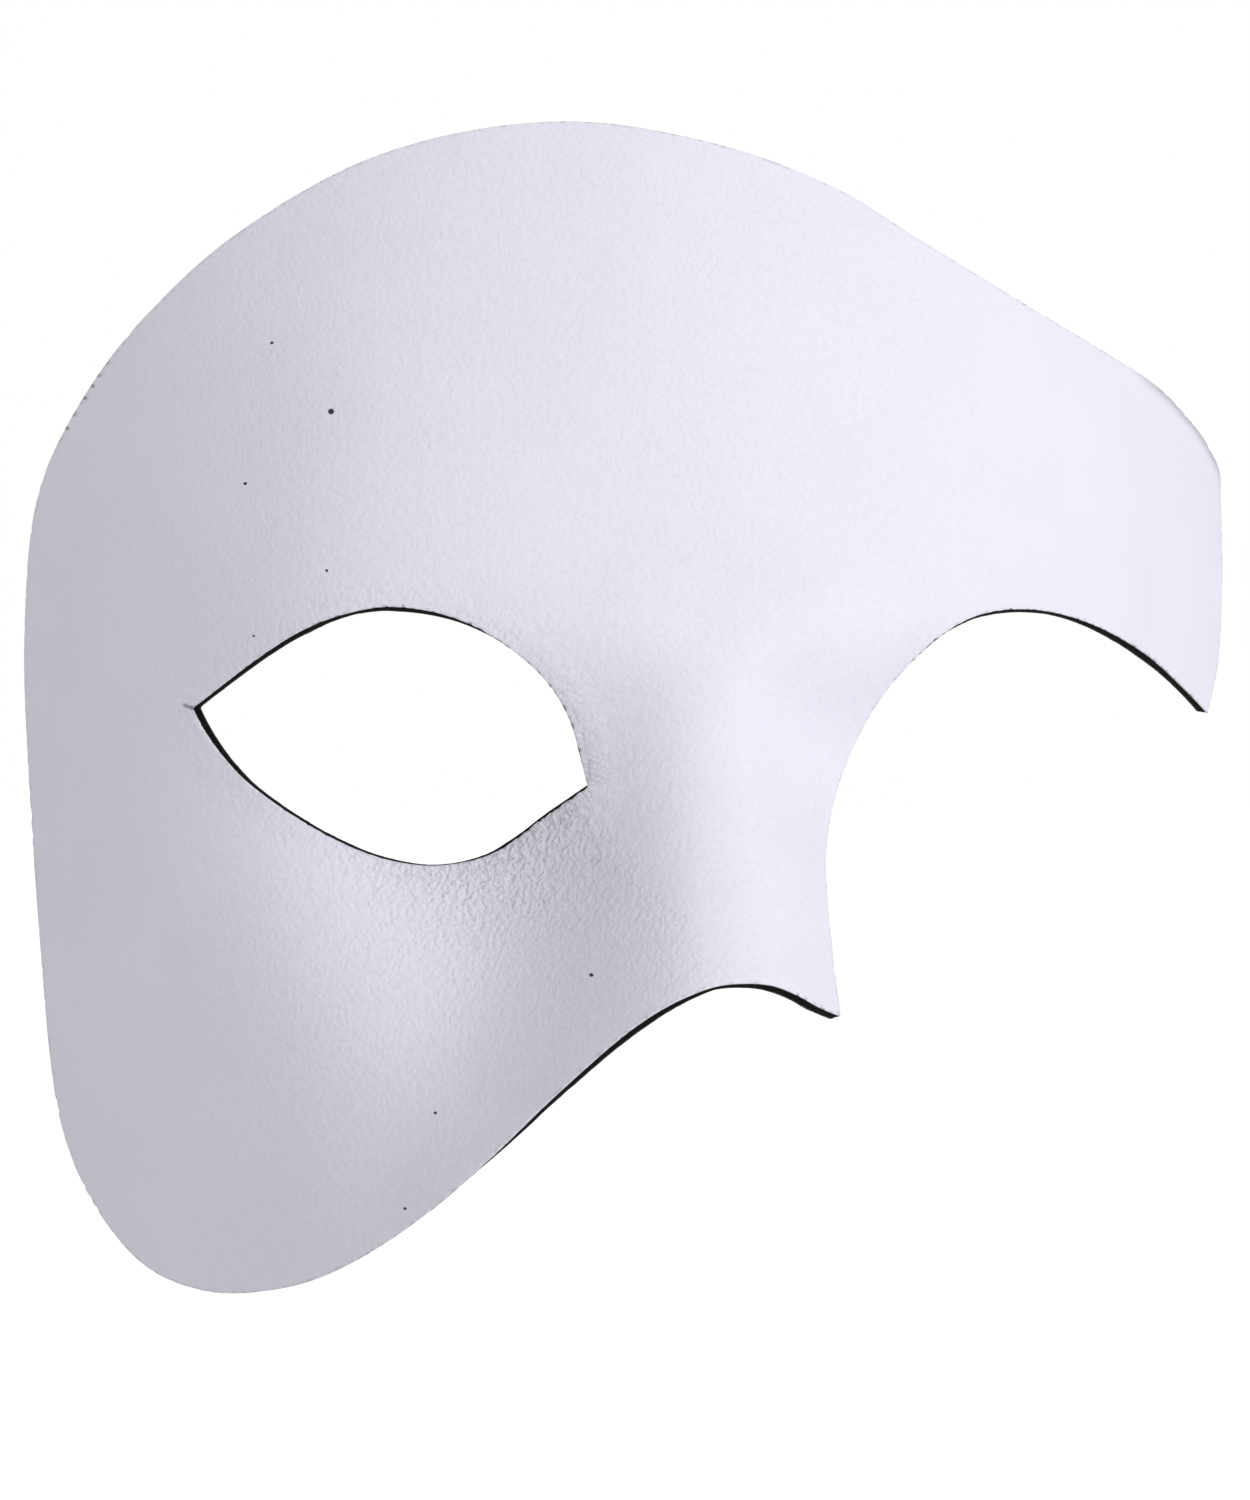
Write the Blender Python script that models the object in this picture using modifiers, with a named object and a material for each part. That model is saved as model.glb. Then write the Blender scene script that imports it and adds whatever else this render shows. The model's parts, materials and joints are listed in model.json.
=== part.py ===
"""Half-face masquerade mask: a pressed leatherette shell on foam, with an adjustable elastic strap.

Frame: +Z up, the mask looks along -Y and +X is the wearer's left. The origin is the centre of the
strap's inner face, the face that rests on the back of the head. Lengths below are millimetres.
"""

import math

import bmesh
import bpy
import numpy as np
from mathutils import Vector
from mathutils.geometry import delaunay_2d_cdt, interpolate_bezier

MM = 0.001

# The origin, seen from the point of the form between the eyes: behind it and above eye level
STRAP_BEHIND_BROW = 68.0
STRAP_ABOVE_EYES = 38.0

# The pressed form: depth behind the brow as a function of x and of the height over eye level
CROSS_HALF_WIDTH = 103.5
CROSS_DEPTH = 116.0
FOREHEAD_START = 30.0
FOREHEAD_SPAN = 60.0
FOREHEAD_LEAN = 10.0
JAW_START = -4.0
JAW_SPAN = 72.0
JAW_LEAN = 29.0
JAW_MIDDLE_HALF_WIDTH = 40.0
BROW_HEIGHT = 16.0
BROW_SWELL = 5.5
BROW_SPREAD = 9.0
BROW_HALF_LENGTH = 48.0
SOCKET_AT = (39.3, -6.9)
SOCKET_DEPTH = 14.0
SOCKET_SPREAD = (14.5, 20.0)
CHEEK_AT = (46.5, -17.0)
CHEEK_SWELL = 11.0
CHEEK_SPREAD = (16.5, 42.0)
NOSE_TOP = 17.0
NOSE_LENGTH = 51.0
NOSE_PROUD = 29.0
NOSE_HALF_WIDTH = 6.6
NOSE_FLARE = 9.5
NOSE_RISE_POWER = 1.25
NOSE_SIDE_POWER = 2.4
BROW_END_POWER = 4.0

SLOPE_STEP = 0.05

# The laminate, from the face inwards
SKIN_THICKNESS = 0.45
FOAM_THICKNESS = 0.8
LINING_THICKNESS = 0.25
GLUE_GAP = 0.15
SKIN_DEPTH = 0.0
FOAM_DEPTH = SKIN_DEPTH + SKIN_THICKNESS + GLUE_GAP
LINING_DEPTH = FOAM_DEPTH + FOAM_THICKNESS + GLUE_GAP
SHELL_DEPTH = LINING_DEPTH + LINING_THICKNESS

# The cut line in front view, as (x, height over eye level). Each stretch is smooth and two stretches
# meet in a corner: the nose tip, the shoulder over the temple and the temple tip
BROW_ARCH = ((84.4, 6.2), (77.5, 10.4), (70.8, 14.2), (62.0, 17.8), (53.4, 20.0), (45.8, 20.5),
             (38.7, 19.1), (32.0, 14.7), (25.8, 7.6), (20.4, -3.5), (17.5, -13.5), (16.8, -21.0),
             (16.5, -35.6))
CHEEK_AND_CROWN = ((16.5, -35.6), (12.7, -34.2), (6.4, -31.3), (0.7, -30.7), (-4.8, -31.7),
                   (-12.4, -36.1), (-22.1, -45.6), (-31.7, -56.5), (-41.2, -66.4), (-50.7, -73.8),
                   (-58.5, -76.8), (-65.5, -77.3), (-72.5, -74.6), (-78.5, -67.9), (-83.4, -58.0),
                   (-86.0, -46.5), (-88.2, -24.0), (-89.6, -2.0), (-90.1, 17.4), (-88.5, 37.0),
                   (-83.4, 49.7), (-74.7, 62.1), (-61.4, 74.3), (-42.0, 84.7), (-18.2, 88.8),
                   (4.1, 85.6), (21.3, 79.5), (33.0, 72.8), (48.5, 64.7), (61.0, 59.1), (74.0, 53.6),
                   (80.5, 49.4), (84.6, 46.3), (88.0, 42.2))
TEMPLE_EDGE = ((88.0, 42.2), (88.5, 27.0), (87.3, 14.0), (84.4, 6.2))
# The eye hole, with corners at its outer and inner ends
UPPER_LID = ((-68.5, 6.6), (-60.3, 13.4), (-54.2, 17.5), (-48.0, 19.8), (-42.5, 20.5), (-35.2, 19.2),
             (-28.7, 16.0), (-22.1, 10.5), (-18.2, 4.3), (-16.0, -4.4))
LOWER_LID = ((-16.0, -4.4), (-21.5, -8.6), (-27.7, -13.4), (-33.0, -15.1), (-38.5, -15.3),
             (-45.5, -13.6), (-53.8, -9.4), (-61.5, -3.7), (-66.0, 1.8), (-68.5, 6.6))

# How finely the sheets are meshed: along the cut, on the open panels and round the nose
CUT_SPACING = 4.0
KNOT_STEPS = 32
PANEL_SPACING = 7.4
NOSE_SPACING = 4.2
NOSE_ZONE_HALF_WIDTH = 32.0
NOSE_ZONE_HEIGHTS = (-62.0, 26.0)
CLEAR_OF_CUT = 0.62
LARGEST_CLEARANCE = 3.2

# The elastic, 12 mm wide, and the hinge line that both of its ends turn on
BAND_WIDTH = 12.0
BAND_THICKNESS = 0.9
BAND_GAP = 0.3
BAND_PLANE = BAND_THICKNESS / 2
RAMP_STEPS = 14
TURN_STEPS = 12
SMALL_BEND_STEPS = 6
BAND_RAMP_END_X = 44.0
SWING_LINE_Y = -14.0
SWING_SPLIT_X = 66.0
SPLIT_GAP = 0.3

# Where an end is glued, measured on the face of the form, and the patch over it
GLUED_FROM_X = 64.0
GLUED_TO_X = 79.5
GLUED_DEPTH = SHELL_DEPTH + BAND_GAP + BAND_THICKNESS / 2
GLUED_ROWS = 8
END_POINTS_ACROSS = 5
PATCH_FROM_X = 61.0
PATCH_TO_X = 78.0
PATCH_HEIGHT = 21.0
PATCH_THICKNESS = 0.6
PATCH_RAMP_FROM = 6.8
PATCH_RAMP_TO = 8.6
PATCH_POINTS_ACROSS = 15
PATCH_ROWS = 7

# The ring between the tab and the band
RING_WIRE_RADIUS = 1.0
RING_BAND_BAR_X = -32.0
RING_TAB_BAR_X = -40.0
RING_HALF_HEIGHT = 7.8
RING_CORNER = 1.6
RING_PLAY = 1.2
TAB_SEWN_FROM = 5.6
TAB_SEWN_TO = 10.4
TAB_STITCH_AT = 8.4

# The band lies flat on the head up to here, then leans back by this much to reach the ring
BAND_FLAT_TO_X = -4.0
RING_SET_BACK = 0.4
RING_Y = RING_SET_BACK + BAND_THICKNESS + BAND_GAP + RING_WIRE_RADIUS
RETURN_START_X = RING_BAND_BAR_X + 2.0
RETURN_Y = RING_Y + RING_WIRE_RADIUS + BAND_GAP + BAND_THICKNESS / 2

# The slider: a frame in front of the band and a bar behind it
SLIDER_X = -12.0
SLIDER_LENGTH = 10.4
SLIDER_HALF_HEIGHT = 8.6
SLIDER_THICKNESS = 1.6
SLIDER_RAIL = 2.0
SLIDER_BAR_RADIUS = 1.0
SLIDER_BAR_Y = 3.7
SLIDER_WINDOW_MARGIN = 0.5
RISER_HALF_LENGTH = 1.5
RISER_OVERLAP = 0.4
RISER_INSET = 0.2
RISER_TOP = 0.3
SLIDER_SEWN_FROM = 4.6
SLIDER_SEWN_TO = 9.4
SLIDER_STITCH_AT = 7.4
LOOP_START_X = SLIDER_X - SLIDER_SEWN_TO
SLIDER_SEAM_Y = RETURN_Y - (BAND_THICKNESS + BAND_GAP) / 2

# Stitching thread
THREAD_RADIUS = 0.24
THREAD_PITCH = 1.1
THREAD_TURNS = 3


def form_depth(x, z):
    """Depth in mm behind the brow of the mask's face, at x and at height z over eye level."""
    depth = CROSS_DEPTH * (1 - np.sqrt(1 - (x / CROSS_HALF_WIDTH) ** 2))
    depth += FOREHEAD_LEAN * (np.maximum(z - FOREHEAD_START, 0) / FOREHEAD_SPAN) ** 2
    jaw = JAW_LEAN * (np.maximum(JAW_START - z, 0) / JAW_SPAN) ** 2
    depth += jaw * (1 - bell(x, JAW_MIDDLE_HALF_WIDTH))
    brow = bell(z - BROW_HEIGHT, BROW_SPREAD) * bell(np.abs(x), BROW_HALF_LENGTH, BROW_END_POWER)
    depth -= BROW_SWELL * brow
    for side in (-1, 1):
        depth += SOCKET_DEPTH * mound(x * side, z, SOCKET_AT, SOCKET_SPREAD)
        depth -= CHEEK_SWELL * mound(x * side, z, CHEEK_AT, CHEEK_SPREAD)
    down = np.maximum((NOSE_TOP - z) / NOSE_LENGTH, 0)
    across = bell(np.abs(x), NOSE_HALF_WIDTH + NOSE_FLARE * down, NOSE_SIDE_POWER)
    depth -= NOSE_PROUD * down ** NOSE_RISE_POWER * across
    return depth


def bell(distance, spread, power=2.0):
    return np.exp(-0.5 * (distance / spread) ** power)


def mound(x, z, at, spread):
    return bell(x - at[0], spread[0]) * bell(z - at[1], spread[1])


def on_form(x, z, depth):
    """Points of the origin's frame, that far inwards from the face of the form along its normal."""
    x, z = np.asarray(x, float), np.asarray(z, float)
    step = SLOPE_STEP
    slope_x = (form_depth(x + step, z) - form_depth(x - step, z)) / (2 * step)
    slope_z = (form_depth(x, z + step) - form_depth(x, z - step)) / (2 * step)
    inwards = np.stack([-slope_x, np.ones_like(slope_x), -slope_z], axis=-1)
    inwards /= np.linalg.norm(inwards, axis=-1, keepdims=True)
    face = np.stack([x, form_depth(x, z) - STRAP_BEHIND_BROW, z - STRAP_ABOVE_EYES], axis=-1)
    return face + inwards * np.asarray(depth, float)[..., None]


def smooth_stretch(knots):
    """A smooth curve through the knots, without its last point, sampled CUT_SPACING apart."""
    knots = [Vector(knot) for knot in knots]
    tangents = []
    for before, knot, after in zip([knots[0]] + knots, knots, knots[1:] + [knots[-1]]):
        tangents.append((after - before).normalized())
    curve = [knots[0]]
    for i in range(len(knots) - 1):
        reach = (knots[i + 1] - knots[i]).length / 3
        handles = knots[i] + tangents[i] * reach, knots[i + 1] - tangents[i + 1] * reach
        curve += interpolate_bezier(knots[i], *handles, knots[i + 1], KNOT_STEPS + 1)[1:]
    steps = [0.0]
    for a, b in zip(curve, curve[1:]):
        steps.append(steps[-1] + (b - a).length)
    count = max(2, round(steps[-1] / CUT_SPACING))
    at = np.arange(count) / count * steps[-1]
    return np.stack([np.interp(at, steps, [point[axis] for point in curve]) for axis in (0, 1)], axis=1)


def cut_loops():
    stretches = BROW_ARCH, CHEEK_AND_CROWN, TEMPLE_EDGE
    outer = np.concatenate([smooth_stretch(knots) for knots in stretches])
    eye = np.concatenate([smooth_stretch(UPPER_LID), smooth_stretch(LOWER_LID)])
    return outer, eye


def inside(points, loop):
    """Which of the points lie within the closed loop."""
    x, z = points[:, 0:1], points[:, 1:2]
    a, b = loop, np.roll(loop, -1, axis=0)
    crosses = (a[:, 1] > z) != (b[:, 1] > z)
    rise = np.where(b[:, 1] == a[:, 1], 1.0, b[:, 1] - a[:, 1])
    at = a[:, 0] + (z - a[:, 1]) / rise * (b[:, 0] - a[:, 0])
    return (crosses & (x < at)).sum(axis=1) % 2 == 1


def staggered_grid(low, high, spacing):
    row_step = spacing * math.sqrt(3) / 2
    rows = []
    for i, z in enumerate(np.arange(low[1], high[1], row_step)):
        x = np.arange(low[0] + (i % 2) * spacing / 2, high[0], spacing)
        rows.append(np.stack([x, np.full_like(x, z)], axis=1))
    return np.concatenate(rows)


def inner_points(outer, eye):
    """Points between the cut lines: coarse on the open panels and fine round the nose."""
    low, high = outer.min(axis=0), outer.max(axis=0)
    cuts = np.concatenate([outer, eye])
    kept = []
    for spacing, near_nose in ((PANEL_SPACING, False), (NOSE_SPACING, True)):
        grid = staggered_grid(low, high, spacing)
        zone = np.abs(grid[:, 0]) < NOSE_ZONE_HALF_WIDTH
        zone &= (grid[:, 1] > NOSE_ZONE_HEIGHTS[0]) & (grid[:, 1] < NOSE_ZONE_HEIGHTS[1])
        grid = grid[(zone == near_nose) & inside(grid, outer) & ~inside(grid, eye)]
        away = np.linalg.norm(grid[:, None] - cuts[None], axis=2).min(axis=1)
        kept.append(grid[away > min(CLEAR_OF_CUT * spacing, LARGEST_CLEARANCE)])
    return np.concatenate(kept)


def cut_sheet():
    """The die-cut sheet in front view: its points and the triangles between them."""
    outer, eye = cut_loops()
    points = np.concatenate([outer, eye, inner_points(outer, eye)])
    ends = [(i, (i + 1) % len(outer)) for i in range(len(outer))]
    ends += [(len(outer) + i, len(outer) + (i + 1) % len(eye)) for i in range(len(eye))]
    made = delaunay_2d_cdt([Vector(point) for point in points], ends, [], 0, 1e-6)
    points = np.array([tuple(point) for point in made[0]])
    faces = np.array(made[2])
    middles = points[faces].mean(axis=1)
    return points, faces[inside(middles, outer) & ~inside(middles, eye)]


def mesh_object(name, points, faces, material):
    """A mesh object from points in millimetres, put in the mask's collection."""
    mesh = bpy.data.meshes.new(name)
    mesh.from_pydata([tuple(point * MM) for point in np.asarray(points)], [], [list(f) for f in faces])
    mesh.validate()
    obj = bpy.data.objects.new(name, mesh)
    mask_parts.objects.link(obj)
    mesh.materials.append(material)
    return obj


def thicken(obj, thickness, offset):
    """Solidify an open surface. An offset of -1 grows it against its normals and 0 both ways."""
    solid = obj.modifiers.new("thickness", "SOLIDIFY")
    solid.thickness = thickness * MM
    solid.offset = offset
    solid.use_even_offset = True
    solid.use_quality_normals = True


def pressed_layer(name, depth, thickness, material):
    points, faces = sheet
    pressed = on_form(points[:, 0], points[:, 1], depth)
    obj = mesh_object(name, pressed, faces, material)
    thicken(obj, thickness, -1)
    return obj


def grid_object(name, rows, thickness, offset, material):
    """A quad grid through equally long rows of points, solidified."""
    across = len(rows[0])
    faces = []
    for i in range(len(rows) - 1):
        for j in range(across - 1):
            a = i * across + j
            faces.append((a, a + across, a + across + 1, a + 1))
    obj = mesh_object(name, np.concatenate(rows), faces, material)
    thicken(obj, thickness, offset)
    return obj


def principled(name, colour, roughness, metallic=0.0):
    material = bpy.data.materials.new(name)
    material.use_nodes = True
    shader = material.node_tree.nodes["Principled BSDF"]
    shader.inputs["Base Color"].default_value = (*colour, 1.0)
    shader.inputs["Roughness"].default_value = roughness
    shader.inputs["Metallic"].default_value = metallic
    return material


def arc(centre, radius, start, end, steps):
    """Points of an arc in the XY plane, from one angle in degrees to another."""
    angles = np.radians(np.linspace(start, end, steps + 1))
    return np.stack([centre[0] + radius * np.cos(angles), centre[1] + radius * np.sin(angles)], axis=1)


def s_bend(start, end, steps):
    """Points of an S from start to end that leaves and arrives along X."""
    t = np.linspace(0, 1, steps + 1)
    ease = t * t * (3 - 2 * t)
    return np.stack([start[0] + (end[0] - start[0]) * t, start[1] + (end[1] - start[1]) * ease], axis=1)


def ribbon(name, path, material):
    """A length of the elastic on edge: a path in the XY plane, extruded in Z and thickened."""
    curve = bpy.data.curves.new(name + "_path", "CURVE")
    curve.dimensions = "2D"
    curve.fill_mode = "NONE"
    curve.extrude = BAND_WIDTH / 2 * MM
    spline = curve.splines.new("POLY")
    spline.points.add(len(path) - 1)
    for point, (x, y) in zip(spline.points, path):
        point.co = (x * MM, y * MM, 0, 1)
    guide = bpy.data.objects.new(name + "_path", curve)
    cutters.objects.link(guide)
    mesh = mesh_from(guide)
    obj = bpy.data.objects.new(name, mesh)
    mask_parts.objects.link(obj)
    mesh.materials.clear()
    mesh.materials.append(material)
    thicken(obj, BAND_THICKNESS, 0)
    return obj


def mesh_from(guide):
    """The mesh of a curve object, welded, with the curve removed."""
    bpy.context.view_layer.update()
    evaluated = guide.evaluated_get(bpy.context.evaluated_depsgraph_get())
    mesh = bpy.data.meshes.new_from_object(evaluated)
    shape = bmesh.new()
    shape.from_mesh(mesh)
    bmesh.ops.remove_doubles(shape, verts=shape.verts, dist=1e-6)
    bmesh.ops.recalc_face_normals(shape, faces=shape.faces)
    shape.to_mesh(mesh)
    shape.free()
    bpy.data.objects.remove(guide)
    return mesh


def wire(name, path, radius, material, closed=False):
    """A round wire or thread through points in millimetres."""
    curve = bpy.data.curves.new(name, "CURVE")
    curve.dimensions = "3D"
    curve.bevel_depth = radius * MM
    curve.bevel_resolution = 2
    curve.use_fill_caps = True
    spline = curve.splines.new("POLY")
    spline.points.add(len(path) - 1)
    spline.use_cyclic_u = closed
    for point, place in zip(spline.points, path):
        point.co = (*(coordinate * MM for coordinate in place), 1)
    guide = bpy.data.objects.new(name + "_path", curve)
    cutters.objects.link(guide)
    mesh = mesh_from(guide)
    mesh.materials.clear()
    mesh.materials.append(material)
    mesh.shade_smooth()
    obj = bpy.data.objects.new(name, mesh)
    mask_parts.objects.link(obj)
    return obj


def box(name, low, high):
    bpy.ops.mesh.primitive_cube_add(size=1.0)
    obj = bpy.context.object
    obj.name = name
    obj.scale = [(b - a) * MM for a, b in zip(low, high)]
    obj.location = [(a + b) / 2 * MM for a, b in zip(low, high)]
    bpy.ops.object.transform_apply(location=True, rotation=False, scale=True)
    return obj


def move_to(obj, collection):
    for old in obj.users_collection:
        old.objects.unlink(obj)
    collection.objects.link(obj)


def combine(obj, other, operation):
    """Add an exact Boolean of obj with a helper that isn't part of the mask."""
    move_to(other, cutters)
    other.hide_render = True
    other.display_type = "WIRE"
    modifier = obj.modifiers.new(operation.lower() + "_" + other.name, "BOOLEAN")
    modifier.operation = operation
    modifier.object = other
    modifier.solver = "EXACT"


def end_rows(side):
    """Rows of points across an elastic end: glued on the lining, then bent back to the hinge line."""
    half = BAND_WIDTH / 2
    across = np.linspace(-half, half, END_POINTS_ACROSS)
    rows = []
    for x in np.linspace(GLUED_FROM_X, GLUED_TO_X, GLUED_ROWS):
        rows.append(on_form(np.full_like(across, side * x), STRAP_ABOVE_EYES + across, GLUED_DEPTH))
    last, before = rows[-1].mean(axis=0), rows[-2].mean(axis=0)
    lean = (rows[-1][-1] - rows[-1][0]) / BAND_WIDTH
    heading = math.atan2(last[1] - before[1], abs(last[0] - before[0]))
    radius = (SWING_LINE_Y - last[1]) / (1 + math.cos(heading))
    centre_x = abs(last[0]) - radius * math.sin(heading)
    centre_y = SWING_LINE_Y - radius
    upright = np.array([0.0, 0.0, 1.0])
    for t in np.linspace(0, 1, TURN_STEPS + 1)[1:]:
        angle = (heading - math.pi / 2) * (1 - t) + t * math.pi / 2
        middle = (side * (centre_x + radius * math.cos(angle)), centre_y + radius * math.sin(angle))
        direction = lean * (1 - t) + upright * t
        height = last[2] * (1 - t)
        rows.append(np.array([(*middle, height) + direction * w for w in across]))
    straight = (centre_x + SWING_SPLIT_X + SPLIT_GAP / 2) / 2, SWING_SPLIT_X + SPLIT_GAP / 2
    for x in straight:
        rows.append(np.array([(side * x, SWING_LINE_Y, w) for w in across]))
    return rows if side < 0 else [row[::-1] for row in rows]


def patch_rows(side):
    """Rows of a patch that lies on the lining and rises over the elastic's end."""
    rows = []
    heights = np.linspace(-PATCH_HEIGHT / 2, PATCH_HEIGHT / 2, PATCH_POINTS_ACROSS)
    ramp = np.clip((PATCH_RAMP_TO - np.abs(heights)) / (PATCH_RAMP_TO - PATCH_RAMP_FROM), 0, 1)
    depth = SHELL_DEPTH + BAND_GAP + (BAND_THICKNESS + BAND_GAP) * ramp
    for x in np.linspace(PATCH_FROM_X, PATCH_TO_X, PATCH_ROWS):
        rows.append(on_form(np.full_like(heights, side * x), STRAP_ABOVE_EYES + heights, depth))
    return rows if side < 0 else [row[::-1] for row in rows]


def tab_loop_path():
    """From the hinge line up to the ring, round its far bar and back to where the tail is sewn."""
    radius = RING_WIRE_RADIUS + RING_PLAY + BAND_THICKNESS / 2
    front, back = RING_Y - radius, RING_Y + radius
    sewn = RING_Y - (BAND_THICKNESS + BAND_GAP) / 2, RING_Y + (BAND_THICKNESS + BAND_GAP) / 2
    start = (-SWING_SPLIT_X + SPLIT_GAP / 2, SWING_LINE_Y)
    bar = RING_TAB_BAR_X
    sewn_end, sewn_start = bar - TAB_SEWN_TO, bar - TAB_SEWN_FROM
    return np.concatenate([
        s_bend(start, (sewn_end, sewn[0]), RAMP_STEPS),
        s_bend((sewn_start, sewn[0]), (bar, front), SMALL_BEND_STEPS),
        arc((bar, RING_Y), radius, -90, 90, TURN_STEPS)[1:],
        s_bend((bar, back), (sewn_start, sewn[1]), SMALL_BEND_STEPS)[1:],
        [(sewn_end, sewn[1])],
    ])


def band_path():
    """From the left hinge point down to the straight run, along it and round the ring's near bar."""
    radius = RING_WIRE_RADIUS + BAND_GAP + BAND_THICKNESS / 2
    bar = RING_BAND_BAR_X
    return np.concatenate([
        s_bend((SWING_SPLIT_X - SPLIT_GAP / 2, SWING_LINE_Y), (BAND_RAMP_END_X, BAND_PLANE), RAMP_STEPS),
        [(BAND_FLAT_TO_X, BAND_PLANE), (bar, BAND_PLANE + RING_SET_BACK)],
        arc((bar, RING_Y), radius, 270, 90, TURN_STEPS)[1:],
        [(RETURN_START_X, RETURN_Y)],
    ])


def band_return_path():
    """The layer that runs back from the ring to the slider."""
    return [(RETURN_START_X + SPLIT_GAP, RETURN_Y), (LOOP_START_X - SPLIT_GAP, RETURN_Y)]


def slider_loop_path():
    """The band's sewn end: from the return layer, round the slider's bar and back under itself."""
    radius = SLIDER_BAR_RADIUS + BAND_GAP + BAND_THICKNESS / 2
    tail_y = RETURN_Y - BAND_THICKNESS - BAND_GAP
    bar, sewn = SLIDER_X, SLIDER_X - SLIDER_SEWN_FROM
    return np.concatenate([
        [(LOOP_START_X, RETURN_Y)],
        s_bend((sewn, RETURN_Y), (bar, SLIDER_BAR_Y + radius), SMALL_BEND_STEPS),
        arc((bar, SLIDER_BAR_Y), radius, 90, -90, TURN_STEPS)[1:],
        s_bend((bar, SLIDER_BAR_Y - radius), (sewn, tail_y), SMALL_BEND_STEPS)[1:],
        [(LOOP_START_X, tail_y)],
    ])


def whip_stitch(name, middle_x, middle_y, material):
    """A thread wound round two layers of the elastic, sewing them together at both edges."""
    half_y = BAND_THICKNESS + BAND_GAP / 2 + BAND_GAP + THREAD_RADIUS
    half_z = BAND_WIDTH / 2 + BAND_GAP + THREAD_RADIUS
    around = ((-1, -1), (-1, 0), (-1, 1), (1, 1), (1, 0), (1, -1))
    path = []
    for turn in range(THREAD_TURNS):
        for i, (y, z) in enumerate(around):
            x = (turn + i / len(around) - THREAD_TURNS / 2) * THREAD_PITCH
            path.append((middle_x + x, middle_y + y * half_y, z * half_z))
    return wire(name, path, THREAD_RADIUS, material)


def ring_path():
    """The ring's wire: a rectangle in the XZ plane with rounded corners."""
    path = []
    right, left, top = RING_BAND_BAR_X, RING_TAB_BAR_X, RING_HALF_HEIGHT
    corners = ((right, top, 0), (left, top, 90), (left, -top, 180), (right, -top, 270))
    for x, z, start in corners:
        centre_x = x + RING_CORNER * (1 if x == left else -1)
        centre_z = z - RING_CORNER * math.copysign(1, z)
        for px, pz in arc((centre_x, centre_z), RING_CORNER, start, start + 90, 4):
            path.append((px, RING_Y, pz))
    return path


def slider_body(material):
    """A front frame that the band lies on, two risers and the bar behind the band."""
    half = SLIDER_LENGTH / 2
    front, back = -BAND_GAP - SLIDER_THICKNESS, -BAND_GAP
    top = SLIDER_HALF_HEIGHT
    window = BAND_WIDTH / 2 + SLIDER_WINDOW_MARGIN
    frame = box("slider", (SLIDER_X - half, front, -top), (SLIDER_X + half, back, top))
    opening = half - SLIDER_RAIL
    combine(frame, box(
        "slider_window",
        (SLIDER_X - opening, front - 1, -window),
        (SLIDER_X + opening, back + 1, window),
    ), "DIFFERENCE")
    riser_back = SLIDER_BAR_Y + SLIDER_BAR_RADIUS + RISER_TOP
    for name, low, high in (("lower", -top, -window), ("upper", window, top)):
        combine(frame, box(
            "slider_riser_" + name,
            (SLIDER_X - RISER_HALF_LENGTH, front + RISER_OVERLAP, low + RISER_INSET),
            (SLIDER_X + RISER_HALF_LENGTH, riser_back, high - RISER_INSET),
        ), "UNION")
    bpy.ops.mesh.primitive_cylinder_add(
        vertices=16,
        radius=SLIDER_BAR_RADIUS * MM,
        depth=(window + SLIDER_HALF_HEIGHT) * MM,
        location=(SLIDER_X * MM, SLIDER_BAR_Y * MM, 0),
    )
    bar = bpy.context.object
    bar.name = "slider_bar"
    combine(frame, bar, "UNION")
    move_to(frame, mask_parts)
    frame.data.materials.append(material)
    return frame


for leftover in list(bpy.data.objects):
    bpy.data.objects.remove(leftover)
mask_parts = bpy.data.collections.new("half_face_mask")
cutters = bpy.data.collections.new("cutters")
for collection in (mask_parts, cutters):
    bpy.context.scene.collection.children.link(collection)
cutters.hide_render = True

leatherette = principled("white_leatherette", (0.80, 0.80, 0.86), 0.5)
foam = principled("black_foam", (0.012, 0.012, 0.013), 0.9)
lining_cloth = principled("black_lining", (0.02, 0.02, 0.022), 0.95)
elastic = principled("black_elastic", (0.018, 0.018, 0.02), 0.8)
plastic = principled("black_plastic", (0.015, 0.015, 0.016), 0.3)
thread = principled("black_thread", (0.03, 0.03, 0.03), 0.6)

sheet = cut_sheet()
pressed_layer("skin", SKIN_DEPTH, SKIN_THICKNESS, leatherette)
pressed_layer("foam_core", FOAM_DEPTH, FOAM_THICKNESS, foam)
pressed_layer("lining", LINING_DEPTH, LINING_THICKNESS, lining_cloth)
grid_object("tab_end", end_rows(-1), BAND_THICKNESS, 0, elastic)
grid_object("band_end", end_rows(1), BAND_THICKNESS, 0, elastic)
grid_object("tab_patch", patch_rows(-1), PATCH_THICKNESS, 1, lining_cloth)
grid_object("band_patch", patch_rows(1), PATCH_THICKNESS, 1, lining_cloth)
ribbon("tab_loop", tab_loop_path(), elastic)
ribbon("band", band_path(), elastic)
ribbon("band_return", band_return_path(), elastic)
ribbon("slider_loop", slider_loop_path(), elastic)
wire("ring", ring_path(), RING_WIRE_RADIUS, plastic, closed=True)
slider_body(plastic)
whip_stitch("tab_stitch", RING_TAB_BAR_X - TAB_STITCH_AT, RING_Y, thread)
whip_stitch("slider_stitch", SLIDER_X - SLIDER_STITCH_AT, SLIDER_SEAM_Y, thread)
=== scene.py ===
"""Looks of the half-face masquerade mask: laminate, elastic and fittings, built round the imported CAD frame.

Lengths are millimetres in the frame's axes, apart from those whose names end in _M, which are metres.
-Y is the way the mask looks, +Z is up and +X is the wearer's left.
"""
import json
import math

import bmesh
import bpy
import numpy as np
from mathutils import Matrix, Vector, noise
from mathutils.geometry import delaunay_2d_cdt
from mathutils.kdtree import KDTree


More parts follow.
